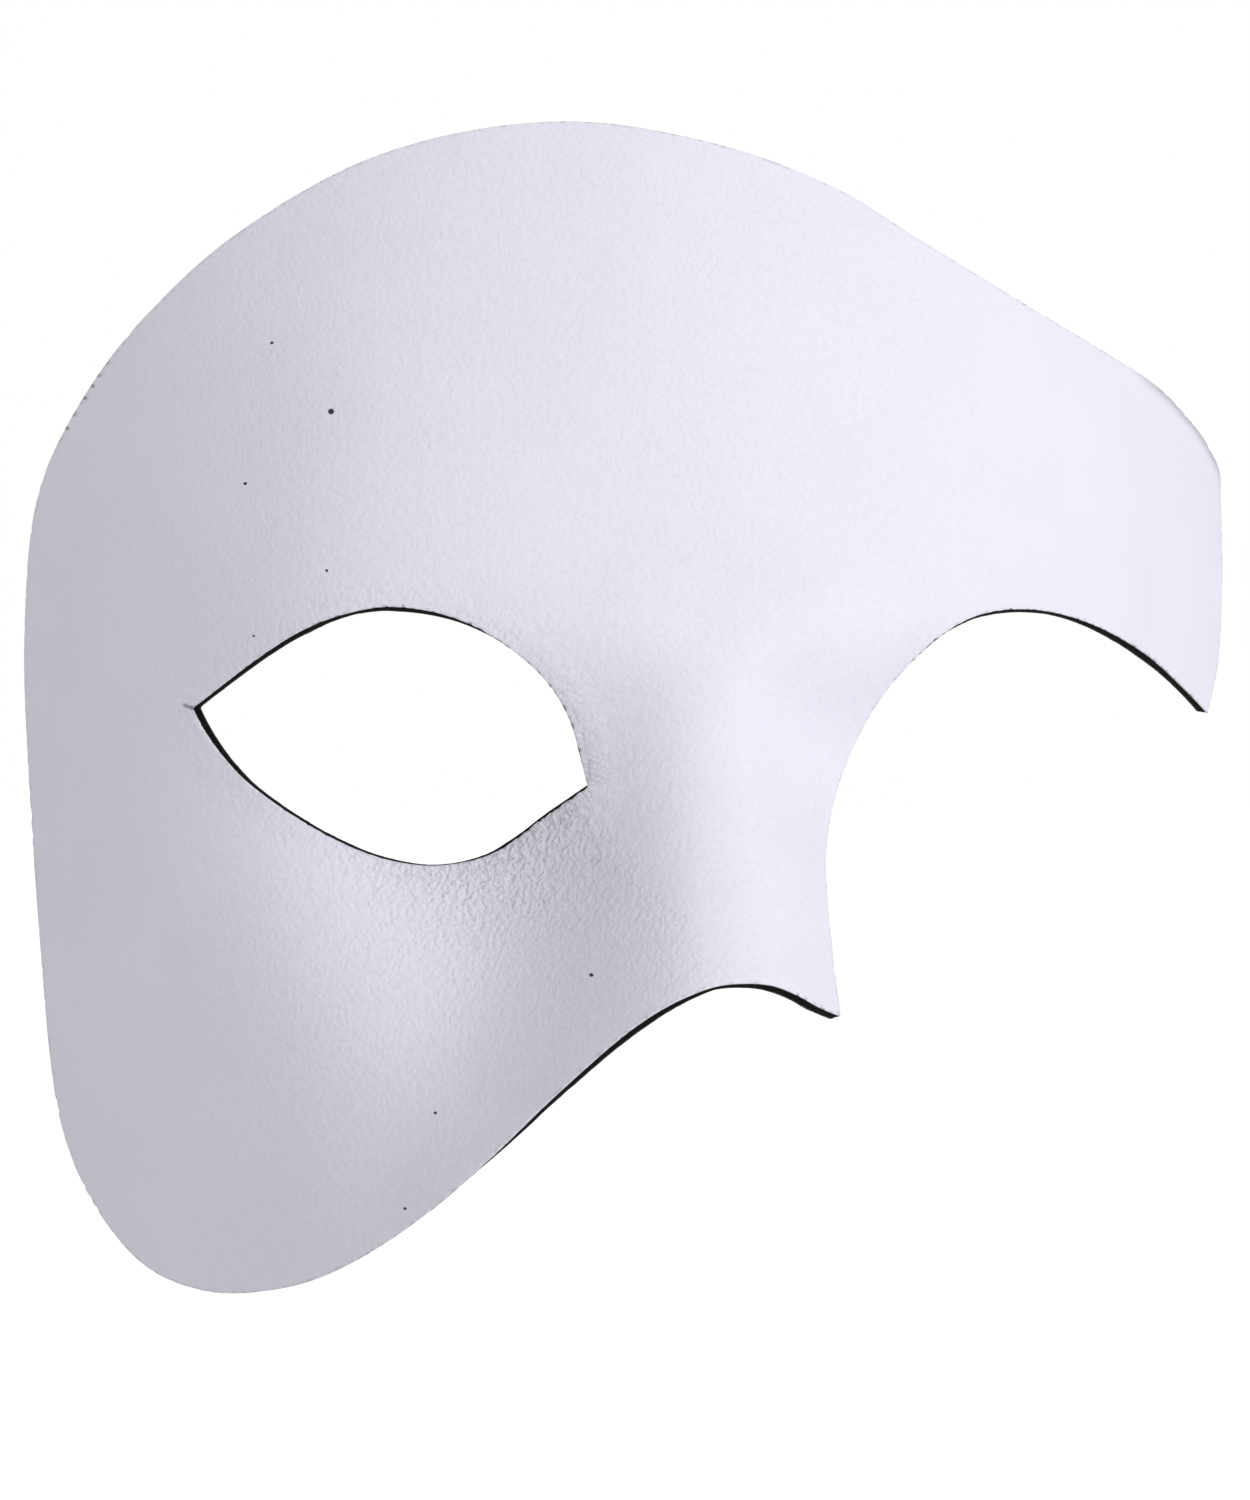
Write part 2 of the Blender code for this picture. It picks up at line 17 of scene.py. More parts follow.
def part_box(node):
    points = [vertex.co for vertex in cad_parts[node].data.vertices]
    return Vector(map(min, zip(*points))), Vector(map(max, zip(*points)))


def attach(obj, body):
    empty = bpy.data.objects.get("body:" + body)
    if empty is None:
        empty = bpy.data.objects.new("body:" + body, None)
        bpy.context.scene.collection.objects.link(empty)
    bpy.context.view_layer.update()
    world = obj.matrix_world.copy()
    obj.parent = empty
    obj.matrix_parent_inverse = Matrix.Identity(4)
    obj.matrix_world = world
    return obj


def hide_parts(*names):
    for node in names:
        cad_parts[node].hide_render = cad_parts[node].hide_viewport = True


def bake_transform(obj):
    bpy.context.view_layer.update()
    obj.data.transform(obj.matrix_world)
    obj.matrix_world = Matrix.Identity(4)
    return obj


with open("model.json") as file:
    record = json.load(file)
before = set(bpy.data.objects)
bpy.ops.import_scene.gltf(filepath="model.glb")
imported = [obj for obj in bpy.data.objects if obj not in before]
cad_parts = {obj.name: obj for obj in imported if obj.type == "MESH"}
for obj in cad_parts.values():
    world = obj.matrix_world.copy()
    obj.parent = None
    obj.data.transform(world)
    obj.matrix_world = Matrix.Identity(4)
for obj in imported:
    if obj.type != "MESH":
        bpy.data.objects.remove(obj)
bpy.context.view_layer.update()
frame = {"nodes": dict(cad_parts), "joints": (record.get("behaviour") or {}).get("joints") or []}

MM = 0.001
FRONT = Vector((0, -1, 0))
BACK = Vector((0, 1, 0))

# Reading the CAD: corners closer than this are one, and a turn sharper than these is a rim or a corner
WELD_M = 1e-6
RIM_TURN = math.radians(55)
OUTLINE_CORNER = math.radians(38)

# The laminate's layers, as depths behind the face
SKIN_BACK = 0.24
FOAM_FRONT = 0.22
FOAM_BACK = 1.52
LINING_FRONT = 1.48
LINING_BACK = 1.8

# How finely the sheets are meshed
CUT_SPACING = 0.4
FACE_SPACING = 0.62
EYE_ZONE = 4.5
EYE_SPACING = 0.32
HIDDEN_SPACING = 2.2
LINING_SPACING = 1.2
CLEARANCE = 0.75

# Depth of the leatherette's grain
GRAIN_DEPTH_M = 0.00028

# The skin's cut edge rolls in over this radius
SKIN_EDGE_RADIUS = 0.13
EDGE_ROUND_STEPS = 4
SKIN_WALL_END = 0.14

# Unevenness of the pressed skin, as heights over the form
WAVE_HEIGHT = 0.07
WAVE_LENGTH = 13.0
PUCKER_HEIGHT = 0.16
PUCKER_PITCH = 1.25
PUCKER_REACH = 3.2
PUCKER_ALONG = 34.0
PUCKER_LENGTH = 4.2
UPPER_PUCKER_ALONG = 8.0
GRAIN_HEIGHT = 0.055
GRAIN_LENGTH = 0.85
LOWEST_DIP = 0.13
EDGE_KEEPS = 0.35
LIP_DISTANCE = 0.95
LIP_WIDTH = 0.18
LIP_DEPTH = 0.12
LIP_ALONG = 21.0
NICK = np.array([-0.95, 0.42])
NICK_WIDTH = 0.2
NICK_DEPTH = 0.22
TORN_LIP_DISTANCE = 0.6
TORN_LIP_WIDTH = 0.24
TORN_LIP_HEIGHT = 0.14
TORN_LIP_ALONG = 6.0
PULL_ALONG = 45.0
PULL_REACH = 15.0
PEBBLED_REACH = 12.0

# Marks of use and painted shade: stubs of torn skin on one edge, a grey band of painted shade along the other
# edge standing in for its rounded edge turned from the light, painted shade in the fold beside the upper lid,
# and dark flecks.
# Heights are shares of the mask's, and a fleck is two shares of its width and height and a radius.
# Painted shade: the fold beside the upper lid is coloured grey where shade falls in it
LIP_FOLD_SHADE = 0.22
NICK_GREY = 0.95
STUB_PITCH = 1.8
STUB_REACH = 0.4
STUB_HEIGHTS = (0.725, 0.82)
# Painted shade: a grey band along the other side's edge stands in for the skin's rounded edge turning away
# from the light
SHOULDER_SHADE = 0.45
SHOULDER_REACH = 0.9
SHOULDER_HEIGHTS = (0.70, 0.83)
FLECKS = ((0.223, 0.754, 0.50), (0.181, 0.814, 0.27), (0.160, 0.695, 0.28), (0.218, 0.620, 0.25),
          (0.165, 0.566, 0.20), (0.408, 0.285, 0.30), (0.298, 0.168, 0.25), (0.277, 0.087, 0.25))

# The cut edge of foam and lining is rough, and the knife leaned: outwards is positive
FOAM_ROUGHNESS = 0.10
FOAM_RIM_RINGS = 5
RIM_MARGIN = 0.06
ROUGH_LENGTH = 0.7
NAP_LENGTH = 1.1
LINING_FUZZ = 0.07
TRIM_WANDER = 0.08
TRIM_WANDER_LENGTH = 5.0
DRAWN_REACH = 6.0
SKIN_RAGGED = 0.5
SKIN_RAGGED_LENGTH = 0.8
SKIN_RAGGED_PATCHES = 9.0

# How the knife's lean changes along each cut, as shares of the eye hole's width and of the mask's
UPPER_LID_LEAN = ((0.0, -0.1), (0.16, 0.1), (0.27, 0.37), (0.39, 0.22), (0.5, 0.64), (0.77, 0.45))
LOWER_LID_LEAN = ((0.0, 0.0), (0.14, -0.1), (0.44, 0.42), (0.68, 0.44), (0.79, 0.92), (1.0, 1.0))
CHEEK_LEAN = ((0.2, -0.1), (0.32, -0.8), (0.38, -0.65), (0.435, -0.27), (0.49, -0.52), (0.54, -0.1),
              (0.58, -0.2))
ARCH_LEAN = ((0.6, 0.5), (0.65, 0.78), (0.72, 0.73), (0.8, 0.15), (0.9, 0.14), (0.94, -0.28), (0.98, -0.35))
ARCH_PAST_EYE = 20.0
ARCH_ABOVE_EYE = 3.0

# The elastic's section: ribs of covered rubber between flat edges
ELASTIC_THICKNESS = 0.9
ELASTIC_WIDTH = 12.0
ELASTIC_SPACING = 0.5
RIB_PITCH = 1.0
RIB_DEPTH = 0.09
RIB_SAMPLES = 5
SELVEDGE = 0.55
LONG_CHORD = 3.0

# The returning layer runs on by this much where it meets the band at the ring
RETURN_PAST_BAND = 0.3

# Each end of the strap: its piece, its side and its CAD nodes; and two points outwards and backwards of the
# hinge line's ends, worked out for each end but not used
STRAP_ENDS = (("tab_elastic", -1, "tab_end", "tab_loop"), ("band_elastic", 1, "band_end", "band"))
BLEND_START_M = (0.009, -0.003)
BLEND_END_M = (-0.003, 0.006)

PATCH_CORNER = 3.0
PATCH_SPACING = 0.7
PATCH_THICKNESS = 0.6
PATCH_EDGE_ROUND = 0.45
PATCH_NAP = 0.05
PATCH_SINKS = 1.3

RING_CORNER = 1.6
RING_SPACING = 0.5
TUBE_SIDES = 20
THREAD_TURNS = 3
THREAD_PLIES = 2
THREAD_TWIST_LENGTH = 1.1
THREAD_RADIUS = 0.24
THREAD_SPACING = 0.15
PLY_SHARE = 0.58
PLY_SIDES = 8

MOULD_RADIUS_M = 0.0003
MOULD_STEPS = 3
MOULD_CORNER = math.radians(40)

# Camera: turned from straight ahead towards the wearer's right, level
CAMERA_TURN = math.radians(9.0)
CAMERA_DISTANCE_M = 0.9
AIM_FROM_SKIN_CENTRE_M = (-0.0076, -0.0024, -0.0050)
FRAME_HEIGHT_M = 0.2113
SENSOR = 36.0

# The studio: an even soft surround and one large softbox to the mask's left and front
AMBIENT = 0.650
BACKDROP = 1.0
FLOOR_SIZE_M = 40.0
FLOOR_BELOW_M = 0.12
FLOOR_GLOW = 0.52
KEY_TURN = math.radians(34)
KEY_RISE = 0.20
KEY_DISTANCE_M = 3.0
KEY_SIZE_M = 1.2
KEY_POWER = 39.2


def welded(node):
    """A bmesh of a CAD node with its split corners merged."""
    shape = bmesh.new()
    shape.from_mesh(frame["nodes"][node].data)
    bmesh.ops.remove_doubles(shape, verts=shape.verts, dist=WELD_M)
    shape.normal_update()
    return shape


def side_of(node, facing):
    """One side of a thin CAD solid, up to its rim: points, their normals and the boundary loops."""
    shape = welded(node)
    seed = max(shape.faces, key=lambda face: face.normal.dot(facing) * face.calc_area())
    kept, waiting = {seed}, [seed]
    while waiting:
        for edge in waiting.pop().edges:
            for other in edge.link_faces:
                if other not in kept and edge.calc_face_angle(0) < RIM_TURN:
                    kept.add(other)
                    waiting.append(other)
    shape.verts.index_update()
    verts = sorted({vert for face in kept for vert in face.verts}, key=lambda vert: vert.index)
    index = {vert: i for i, vert in enumerate(verts)}
    points = np.array([vert.co for vert in verts]) / MM
    normals = np.zeros((len(verts), 3))
    follow = {}
    for face in kept:
        for corner in face.loops:
            normals[index[corner.vert]] += np.array(face.normal) * corner.calc_angle()
            if any(other not in kept for other in corner.edge.link_faces):
                follow[index[corner.vert]] = index[corner.link_loop_next.vert]
    normals /= np.linalg.norm(normals, axis=1, keepdims=True)
    loops = []
    while follow:
        loop, at = [], min(follow)
        while at in follow:
            loop.append(at)
            at = follow.pop(at)
        loops.append(loop)
    shape.free()
    return points, normals, sorted(loops, key=len, reverse=True)


def thin_plate(points, values):
    """The smoothest surface through scattered points, as a function of new points: values and slopes."""
    count = len(points)
    away = points[:, None] - points[None]
    square = (away ** 2).sum(axis=2)
    system = np.zeros((count + 3, count + 3))
    system[:count, :count] = square * np.log(square + 1e-9) / 2
    system[:count, count:] = np.column_stack([np.ones(count), points])
    system[count:, :count] = system[:count, count:].T
    weights = np.linalg.solve(system, np.append(values, np.zeros(3)))

    def surface(at):
        found, slopes = [], []
        for some in np.array_split(at, max(1, len(at) // 4000)):
            offset = some[:, None] - points[None]
            near = (offset ** 2).sum(axis=2) + 1e-9
            log = np.log(near)
            found.append(near * log / 2 @ weights[:count] + weights[count] + some @ weights[count + 1:])
            slopes.append(((offset * (log + 1)[..., None]) * weights[:count, None]).sum(axis=1)
                          + weights[count + 1:])
        return np.concatenate(found), np.concatenate(slopes)

    return surface


def turns(points):
    """How far a closed polyline turns at each of its points."""
    before = points - np.roll(points, 1, axis=0)
    after = np.roll(points, -1, axis=0) - points
    lengths = np.linalg.norm(before, axis=1) * np.linalg.norm(after, axis=1)
    return np.arccos(np.clip((before * after).sum(axis=1) / lengths, -1, 1))


def smooth_stretch(knots, spacing):
    """A smooth open curve through knots of any dimension, resampled evenly, with both of its ends."""
    chords = np.linalg.norm(np.diff(knots, axis=0), axis=1)
    slopes = np.diff(knots, axis=0) / chords[:, None]
    share = (chords[:-1] / (chords[:-1] + chords[1:]))[:, None]
    inner = slopes[:-1] * (1 - share) + slopes[1:] * share
    first = 2 * slopes[0] - inner[0] if len(inner) else slopes[0]
    last = 2 * slopes[-1] - inner[-1] if len(inner) else slopes[-1]
    tangents = np.concatenate([[first], inner, [last]])
    dense = []
    t = np.linspace(0, 1, 17)[:-1, None]
    for i, chord in enumerate(chords):
        dense.append((2 * t ** 3 - 3 * t ** 2 + 1) * knots[i]
                     + (t ** 3 - 2 * t ** 2 + t) * chord * tangents[i]
                     + (3 * t ** 2 - 2 * t ** 3) * knots[i + 1]
                     + (t ** 3 - t ** 2) * chord * tangents[i + 1])
    dense = np.concatenate(dense + [knots[-1:]])
    steps = np.append(0, np.linalg.norm(np.diff(dense, axis=0), axis=1).cumsum())
    count = max(2, round(steps[-1] / spacing))
    at = np.linspace(0, steps[-1], count + 1)
    return np.stack([np.interp(at, steps, column) for column in dense.T], axis=1)


def smooth_outline(loop, spacing):
    """A closed outline resampled evenly: smooth through its points and sharp at its corners."""
    corners = np.flatnonzero(turns(loop) > OUTLINE_CORNER)
    loop = np.roll(loop, -corners[0], axis=0)
    bounds = list(corners - corners[0]) + [len(loop)]
    loop = np.concatenate([loop, loop[:1]])
    return np.concatenate([smooth_stretch(loop[a:b + 1], spacing)[:-1] for a, b in zip(bounds, bounds[1:])])


def inside(points, loop):
    """Which of the points lie within the closed loop."""
    after = np.roll(loop, -1, axis=0)
    found = []
    for some in np.array_split(points, max(1, len(points) // 4000)):
        x, z = some[:, 0:1], some[:, 1:2]
        crosses = (loop[:, 1] > z) != (after[:, 1] > z)
        rise = np.where(after[:, 1] == loop[:, 1], 1.0, after[:, 1] - loop[:, 1])
        at = loop[:, 0] + (z - loop[:, 1]) / rise * (after[:, 0] - loop[:, 0])
        found.append((crosses & (x < at)).sum(axis=1) % 2 == 1)
    return np.concatenate(found)


def nearest(points, targets):
    """For each point the index of the nearest target and the distance to it."""
    tree = KDTree(len(targets))
    for i, target in enumerate(targets):
        tree.insert((*target, 0), i)
    tree.balance()
    found = [tree.find((*point, 0)) for point in points]
    return np.array([hit[1] for hit in found]), np.array([hit[2] for hit in found])


def staggered_grid(low, high, spacing):
    """Points in evenly spaced rows, every second row moved by half a step."""
    rows = []
    for i, z in enumerate(np.arange(low[1], high[1], spacing * math.sqrt(3) / 2)):
        x = np.arange(low[0] + (i % 2) * spacing / 2, high[0], spacing)
        rows.append(np.stack([x, np.full_like(x, z)], axis=1))
    return np.concatenate(rows)


def cut_mesh(outlines, spacing, fine_loop=None, fine_spacing=None):
    """A flat mesh inside the first outline and outside the others, finer near fine_loop if one is given."""
    edges = np.concatenate(outlines)
    low, high = outlines[0].min(axis=0), outlines[0].max(axis=0)
    kept = [edges]
    for step, fine in ((spacing, False), (fine_spacing, True)):
        if step is None:
            continue
        grid = staggered_grid(low, high, step)
        if fine_loop is not None:
            near_low, near_high = fine_loop.min(axis=0) - EYE_ZONE, fine_loop.max(axis=0) + EYE_ZONE
            near = ((grid > near_low) & (grid < near_high)).all(axis=1)
            away = np.full(len(grid), np.inf)
            away[near] = nearest(grid[near], fine_loop)[1]
            grid = grid[(away < EYE_ZONE) == fine]
        grid = grid[inside(grid, outlines[0])]
        for hole in outlines[1:]:
            grid = grid[~inside(grid, hole)]
        clear = nearest(grid, edges)[1] > CLEARANCE * min(step, 2 * CUT_SPACING)
        kept.append(grid[clear])
    points = np.concatenate(kept)
    ends, start = [], 0
    for outline in outlines:
        count = len(outline)
        ends += [(start + i, start + (i + 1) % count) for i in range(count)]
        start += count
    made = delaunay_2d_cdt([Vector(point) for point in points], ends, [], 0, 1e-7)
    points = np.array([tuple(point) for point in made[0]])
    faces = np.array(made[2])
    middles = points[faces].mean(axis=1)
    kept_faces = inside(middles, outlines[0])
    for hole in outlines[1:]:
        kept_faces &= ~inside(middles, hole)
    return points, faces[kept_faces]


def across_cut(line, normals):
    """Directions that lie in the surface and cross a closed cut line."""
    along = np.roll(line, -1, axis=0) - np.roll(line, 1, axis=0)
    out = np.cross(along, normals)
    return out / np.linalg.norm(out, axis=1, keepdims=True)


def shell_mesh(name, front, back, rims, material):
    """A closed solid from a front sheet, a back sheet and rings of points between their boundaries."""
    points = [front[0], back[0]]
    offset = len(front[0])
    faces = [front[1], back[1][:, ::-1] + offset]
    start = len(front[0]) + len(back[0])
    first = 0
    for rings in rims:
        count = rings.shape[1]
        ring_index = [np.arange(first, first + count)]
        for ring in rings:
            points.append(ring)
            ring_index.append(np.arange(start, start + count))
            start += count
        ring_index.append(np.arange(first, first + count) + offset)
        for a, b in zip(ring_index, ring_index[1:]):
            after_a, after_b = np.roll(a, -1), np.roll(b, -1)
            faces.append(np.stack([a, b, after_b], axis=1))
            faces.append(np.stack([a, after_b, after_a], axis=1))
        first += count
    return mesh_object(name, np.concatenate(points), np.concatenate(faces), material)


def mesh_object(name, points, faces, material):
    """A mesh object from points in millimetres, with its normals pointing out."""
    mesh = bpy.data.meshes.new(name)
    mesh.from_pydata((np.asarray(points) * MM).tolist(), [], [tuple(map(int, face)) for face in faces])
    shape = bmesh.new()
    shape.from_mesh(mesh)
    bmesh.ops.recalc_face_normals(shape, faces=shape.faces)
    shape.to_mesh(mesh)
    shape.free()
    mesh.polygons.foreach_set("use_smooth", [True] * len(mesh.polygons))
    mesh.materials.append(material)
    obj = bpy.data.objects.new(name, mesh)
    bpy.context.scene.collection.objects.link(obj)
    return obj


def point_attribute(obj, name, values):
    """Stores a number at each of a mesh's points for its material."""
    attribute = obj.data.attributes.new(name, "FLOAT", "POINT")
    attribute.data.foreach_set("value", np.asarray(values, np.float32))


def smoothstep(t):
    """From 0 to 1 with level ends."""
    t = np.clip(t, 0, 1)
    return t * t * (3 - 2 * t)


class Form:
    """The pressed form read from the CAD skin, with the mask's two cut lines in front view."""

    def __init__(self):
        points, _, loops = side_of("skin", FRONT)
        flat = points[:, [0, 2]]
        self.surface = thin_plate(flat, points[:, 1])
        self.outer, self.eye = (smooth_outline(flat[loop], CUT_SPACING) for loop in loops)
        self.outlines = [self.outer, self.eye]
        inner_corner = np.argmax(self.eye[:, 0])
        self.eye_from_inner = np.roll(self.eye, -inner_corner, axis=0)

    def at(self, flat, depth=0.0):
        """Points that far behind the face and the face's outward normals, over points in front view."""
        y, slopes = self.surface(flat)
        normals = np.stack([slopes[:, 0], np.full(len(flat), -1.0), slopes[:, 1]], axis=1)
        normals /= np.linalg.norm(normals, axis=1, keepdims=True)
        face = np.stack([flat[:, 0], y, flat[:, 1]], axis=1)
        return face - normals * np.broadcast_to(depth, len(flat))[:, None], normals

    def cut(self, outline):
        """Points along a cut line, the face's normals there and the directions out of the cloth."""
        face, normals = self.at(outline)
        out = across_cut(face, normals)
        middle = self.outer.mean(axis=0)
        if outline is self.outer and ((face[:, [0, 2]] - middle) * out[:, [0, 2]]).sum() < 0:
            out = -out
        if outline is self.eye and ((face[:, [0, 2]] - self.eye.mean(axis=0)) * out[:, [0, 2]]).sum() > 0:
            out = -out
        return face, normals, out

    def rim(self, outline, profile):
        """Rings round a cut line from pairs of depth and distance outwards, each a number or an array."""
        face, normals, out = self.cut(outline)
        count = len(outline)
        rings = []
        for depth, away in profile:
            sunk = normals * np.broadcast_to(depth, count)[:, None]
            rings.append(face - sunk + out * np.broadcast_to(away, count)[:, None])
        return np.array(rings)

    def drawn(self, sheet, flat, outline, shift):
        """A sheet whose cut line moves outwards by a shift, easing off into the sheet."""
        out = self.cut(outline)[2]
        index, away = nearest(flat, outline)
        share = np.clip(1 - away / DRAWN_REACH, 0, 1)
        return sheet + out[index] * (shift[index] * share)[:, None]


def noise_at(flat, length, seed):
    """Smooth noise between about -1 and 1 over points in front view."""
    return np.array([noise.noise(Vector((x / length, z / length, seed))) for x, z in flat])


def lid_places(form, flat):
    """How far each point is from the eye hole, and along its lid from the inner corner, below and above."""
    lid = form.eye_from_inner
    index, away = nearest(flat, lid)
    around = np.append(0, np.linalg.norm(np.diff(lid, axis=0), axis=1).cumsum())
    total = around[-1] + CUT_SPACING
    along = around[index]
    if lid[len(lid) // 4, 1] < lid[0, 1]:
        return away, along, total - along
    return away, total - along, along


def near_line(flat, start, end):
    """Distance from each point to a short straight line in front view."""
    along = end - start
    share = np.clip((flat - start) @ along / (along @ along), 0, 1)
    return np.linalg.norm(flat - start - share[:, None] * along, axis=1)


def creases(flat, away, lower, upper):
    """Short folds that run from the eye hole's inner corner along its lids, with pebbles between them."""
    here = np.where(lower < upper, smoothstep(1.15 - lower / PUCKER_ALONG),
                    smoothstep(1 - upper / UPPER_PUCKER_ALONG))
    places = zip(np.minimum(lower, upper) / PUCKER_PITCH * 1.6, away / PUCKER_LENGTH, np.full(len(flat), 7.7))
    ridges = np.abs([noise.noise(Vector(place)) for place in places])
    folds = PUCKER_HEIGHT * here * np.exp(-away / PUCKER_REACH) * (1 - 2.6 * ridges)
    pebbles = np.abs(noise_at(flat, GRAIN_LENGTH, 21.0))
    return folds + GRAIN_HEIGHT * smoothstep((EYE_ZONE - away) / 1.5) * (1 - 3 * pebbles)


def lid_marks(form, flat, away, lower, upper):
    """The folded line beside the upper lid, the nick at the outer corner and its torn lip."""
    folded = LIP_DISTANCE * smoothstep(0.35 + upper / 8)
    groove = np.exp(-((away - folded) / LIP_WIDTH) ** 2) * smoothstep(1.3 - 1.3 * upper / LIP_ALONG)
    groove *= smoothstep(upper) * smoothstep(0.75 + noise_at(flat, 1.8, 4.4))
    corner = form.eye[np.argmin(form.eye[:, 0])]
    nick = np.exp(-(near_line(flat, corner, corner + NICK) / NICK_WIDTH) ** 2)
    torn = smoothstep(1 - np.linalg.norm(flat - corner, axis=1) / TORN_LIP_ALONG) * (lower < upper)
    torn = torn * np.exp(-((away - TORN_LIP_DISTANCE) / TORN_LIP_WIDTH) ** 2)
    return groove, nick, torn


def edge_stubs_and_shade(form, flat, edge):
    """Dark stubs on the edge of the covered temple, and a grey band of painted shade along the other one,
    standing in for that edge rounding away from the light.
    """
    low, high = form.outer.min(axis=0), form.outer.max(axis=0)
    across, up = ((flat - low) / (high - low)).T
    jitter = 0.3 * noise_at(flat, 4.0, 6.1)
    stubs = np.maximum(np.sin(2 * math.pi * (flat[:, 1] / STUB_PITCH + jitter)), 0) ** 4
    stubs *= smoothstep((0.10 - across) / 0.04) * bump_between(up, *STUB_HEIGHTS)
    # Painted shade along this edge, where it rounds away from the light
    band = smoothstep((across - 0.88) / 0.04) * bump_between(up, *SHOULDER_HEIGHTS)
    return stubs * np.exp(-(edge / STUB_REACH) ** 2), band * np.exp(-(edge / SHOULDER_REACH) ** 2)


def skin_relief(form, flat):
    """Height of the skin over the form, and what its material needs to know, over points in front view."""
    away, lower, upper = lid_places(form, flat)
    edge = nearest(flat, form.outer)[1]
    groove, nick, torn = lid_marks(form, flat, away, lower, upper)
    stubs, band = edge_stubs_and_shade(form, flat, edge)
    height = WAVE_HEIGHT * noise_at(flat, WAVE_LENGTH, 3.1) + creases(flat, away, lower, upper)
    height += TORN_LIP_HEIGHT * torn - LIP_DEPTH * groove - NICK_DEPTH * nick
    settled = smoothstep(np.minimum(away, edge) / SKIN_EDGE_RADIUS / 3)
    below = (lower < upper) * smoothstep(lower / 5) * smoothstep(1.2 - lower / 38)
    attributes = {
        "pulled": np.exp(-np.minimum(lower, 1.6 * upper) / PULL_ALONG - away / PULL_REACH),
        "pebbled": below * np.exp(-away / PEBBLED_REACH),
        "edge": np.minimum(away, edge),
        # Dark marks, some real and some painted: the nick and the torn stubs are marks of use, the lid fold
        # and the grey edge band are painted shade
        "marks_and_painted_shade": np.max([LIP_FOLD_SHADE * groove, NICK_GREY * nick, stubs, SHOULDER_SHADE * band], axis=0),
        "lid_along": np.minimum(lower, upper),
        "lid_away": away,
    }
    return np.maximum(height * np.maximum(settled, EDGE_KEEPS), -LOWEST_DIP), attributes


def bump_between(value, low, high):
    """One between two values, easing to nothing just outside them."""
    ease = (high - low) / 4
    return smoothstep((value - low) / ease) * smoothstep((high - value) / ease)


def skin_edge(outline, height):
    """The rolled and ragged edge of the skin, from its front inwards, as depths and distances outwards."""
    torn = np.maximum(noise_at(outline, SKIN_RAGGED_LENGTH, 1.9), 0)
    torn = -SKIN_RAGGED * torn * smoothstep(0.7 + 1.2 * noise_at(outline, SKIN_RAGGED_PATCHES, 2.3))
    profile = []
    for step in range(EDGE_ROUND_STEPS + 1):
        angle = math.pi / 2 * step / EDGE_ROUND_STEPS
        sunk, inwards = SKIN_EDGE_RADIUS * (1 - math.cos(angle)), SKIN_EDGE_RADIUS * (math.sin(angle) - 1)
        profile.append((sunk - height * (1 - step / EDGE_ROUND_STEPS), inwards + torn))
    return profile + [(SKIN_WALL_END, torn)]


def skin(form, material):
    """The white skin: front with its relief, rolled edges and a plain back."""
    flat, faces = cut_mesh(form.outlines, FACE_SPACING, form.eye, EYE_SPACING)
    height, attributes = skin_relief(form, flat)
    front, _ = form.at(flat, -height)
    hidden, hidden_faces = cut_mesh(form.outlines, HIDDEN_SPACING)
    back, _ = form.at(hidden, SKIN_BACK)
    rims = []
    first = 0
    for outline in form.outlines:
        last = first + len(outline)
        rim = form.rim(outline, skin_edge(outline, height[first:last]))
        front[first:last] = rim[0]
        rims.append(rim[1:])
        first = last
    obj = shell_mesh("skin_pressed", (front, faces), (back, hidden_faces), rims, material)
    placed = np.array([(vert.co.x, vert.co.z) for vert in obj.data.vertices]) / MM
    source = nearest(placed, flat)[0]
    for key, values in attributes.items():
        point_attribute(obj, key, values[source])
    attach(obj, "mask")
    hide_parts("skin")
    return obj


def along_cut(share, leans):
    """A cut's lean between the places where it is given."""
    places, values = np.transpose(leans)
    return np.interp(share, places, values)


def lean(form, outline):
    """How far the back of the cut stands out past its front, along a cut line."""
    x, z = outline[:, 0], outline[:, 1]
    eye_low, eye_high = form.eye.min(axis=0), form.eye.max(axis=0)
    low, high = form.outer.min(axis=0), form.outer.max(axis=0)
    wander = TRIM_WANDER * noise_at(outline, TRIM_WANDER_LENGTH, 9.2)
    if outline is form.eye:
        share = (x - eye_low[0]) / (eye_high[0] - eye_low[0])
        corner_height = np.interp(x, [eye_low[0], eye_high[0]], [z[np.argmin(x)], z[np.argmax(x)]])
        return wander + np.where(z > corner_height, along_cut(share, UPPER_LID_LEAN),
                                 along_cut(share, LOWER_LID_LEAN))
    share = (x - low[0]) / (high[0] - low[0])
    under = smoothstep((eye_low[1] - z) / 10) * along_cut(share, CHEEK_LEAN)
    over_eye = (x > eye_high[0] + ARCH_PAST_EYE) & (z < eye_high[1] + ARCH_ABOVE_EYE) & (z > eye_low[1])
    return wander + np.where(over_eye, along_cut(share, ARCH_LEAN), under)


def rough_layer(form, name, node, front_depth, back_depth, roughness, spacing, material):
    """A layer behind the skin with a rough cut edge."""
    flat, faces = cut_mesh(form.outlines, HIDDEN_SPACING)
    seen, seen_faces = cut_mesh(form.outlines, spacing)
    nap = noise_at(seen, NAP_LENGTH, back_depth) * roughness / 2
    front, _ = form.at(flat, front_depth)
    back, _ = form.at(seen, back_depth + nap)
    rims = []
    for outline in form.outlines:
        leaning = lean(form, outline)
        profile = []
        for step in range(FOAM_RIM_RINGS):
            t = step / (FOAM_RIM_RINGS - 1)
            depth = front_depth + (back_depth - front_depth) * (RIM_MARGIN + (1 - 2 * RIM_MARGIN) * t)
            rough = noise_at(outline, ROUGH_LENGTH, 11.3 * t + back_depth) * roughness
            profile.append((depth, rough + leaning * depth / LINING_BACK))
        rims.append(form.rim(outline, profile))
        front = form.drawn(front, flat, outline, leaning * front_depth / LINING_BACK)
        back = form.drawn(back, seen, outline, leaning * back_depth / LINING_BACK)
    obj = shell_mesh(name, (front, faces), (back, seen_faces), rims, material)
    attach(obj, "mask")
    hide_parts(node)
    return obj


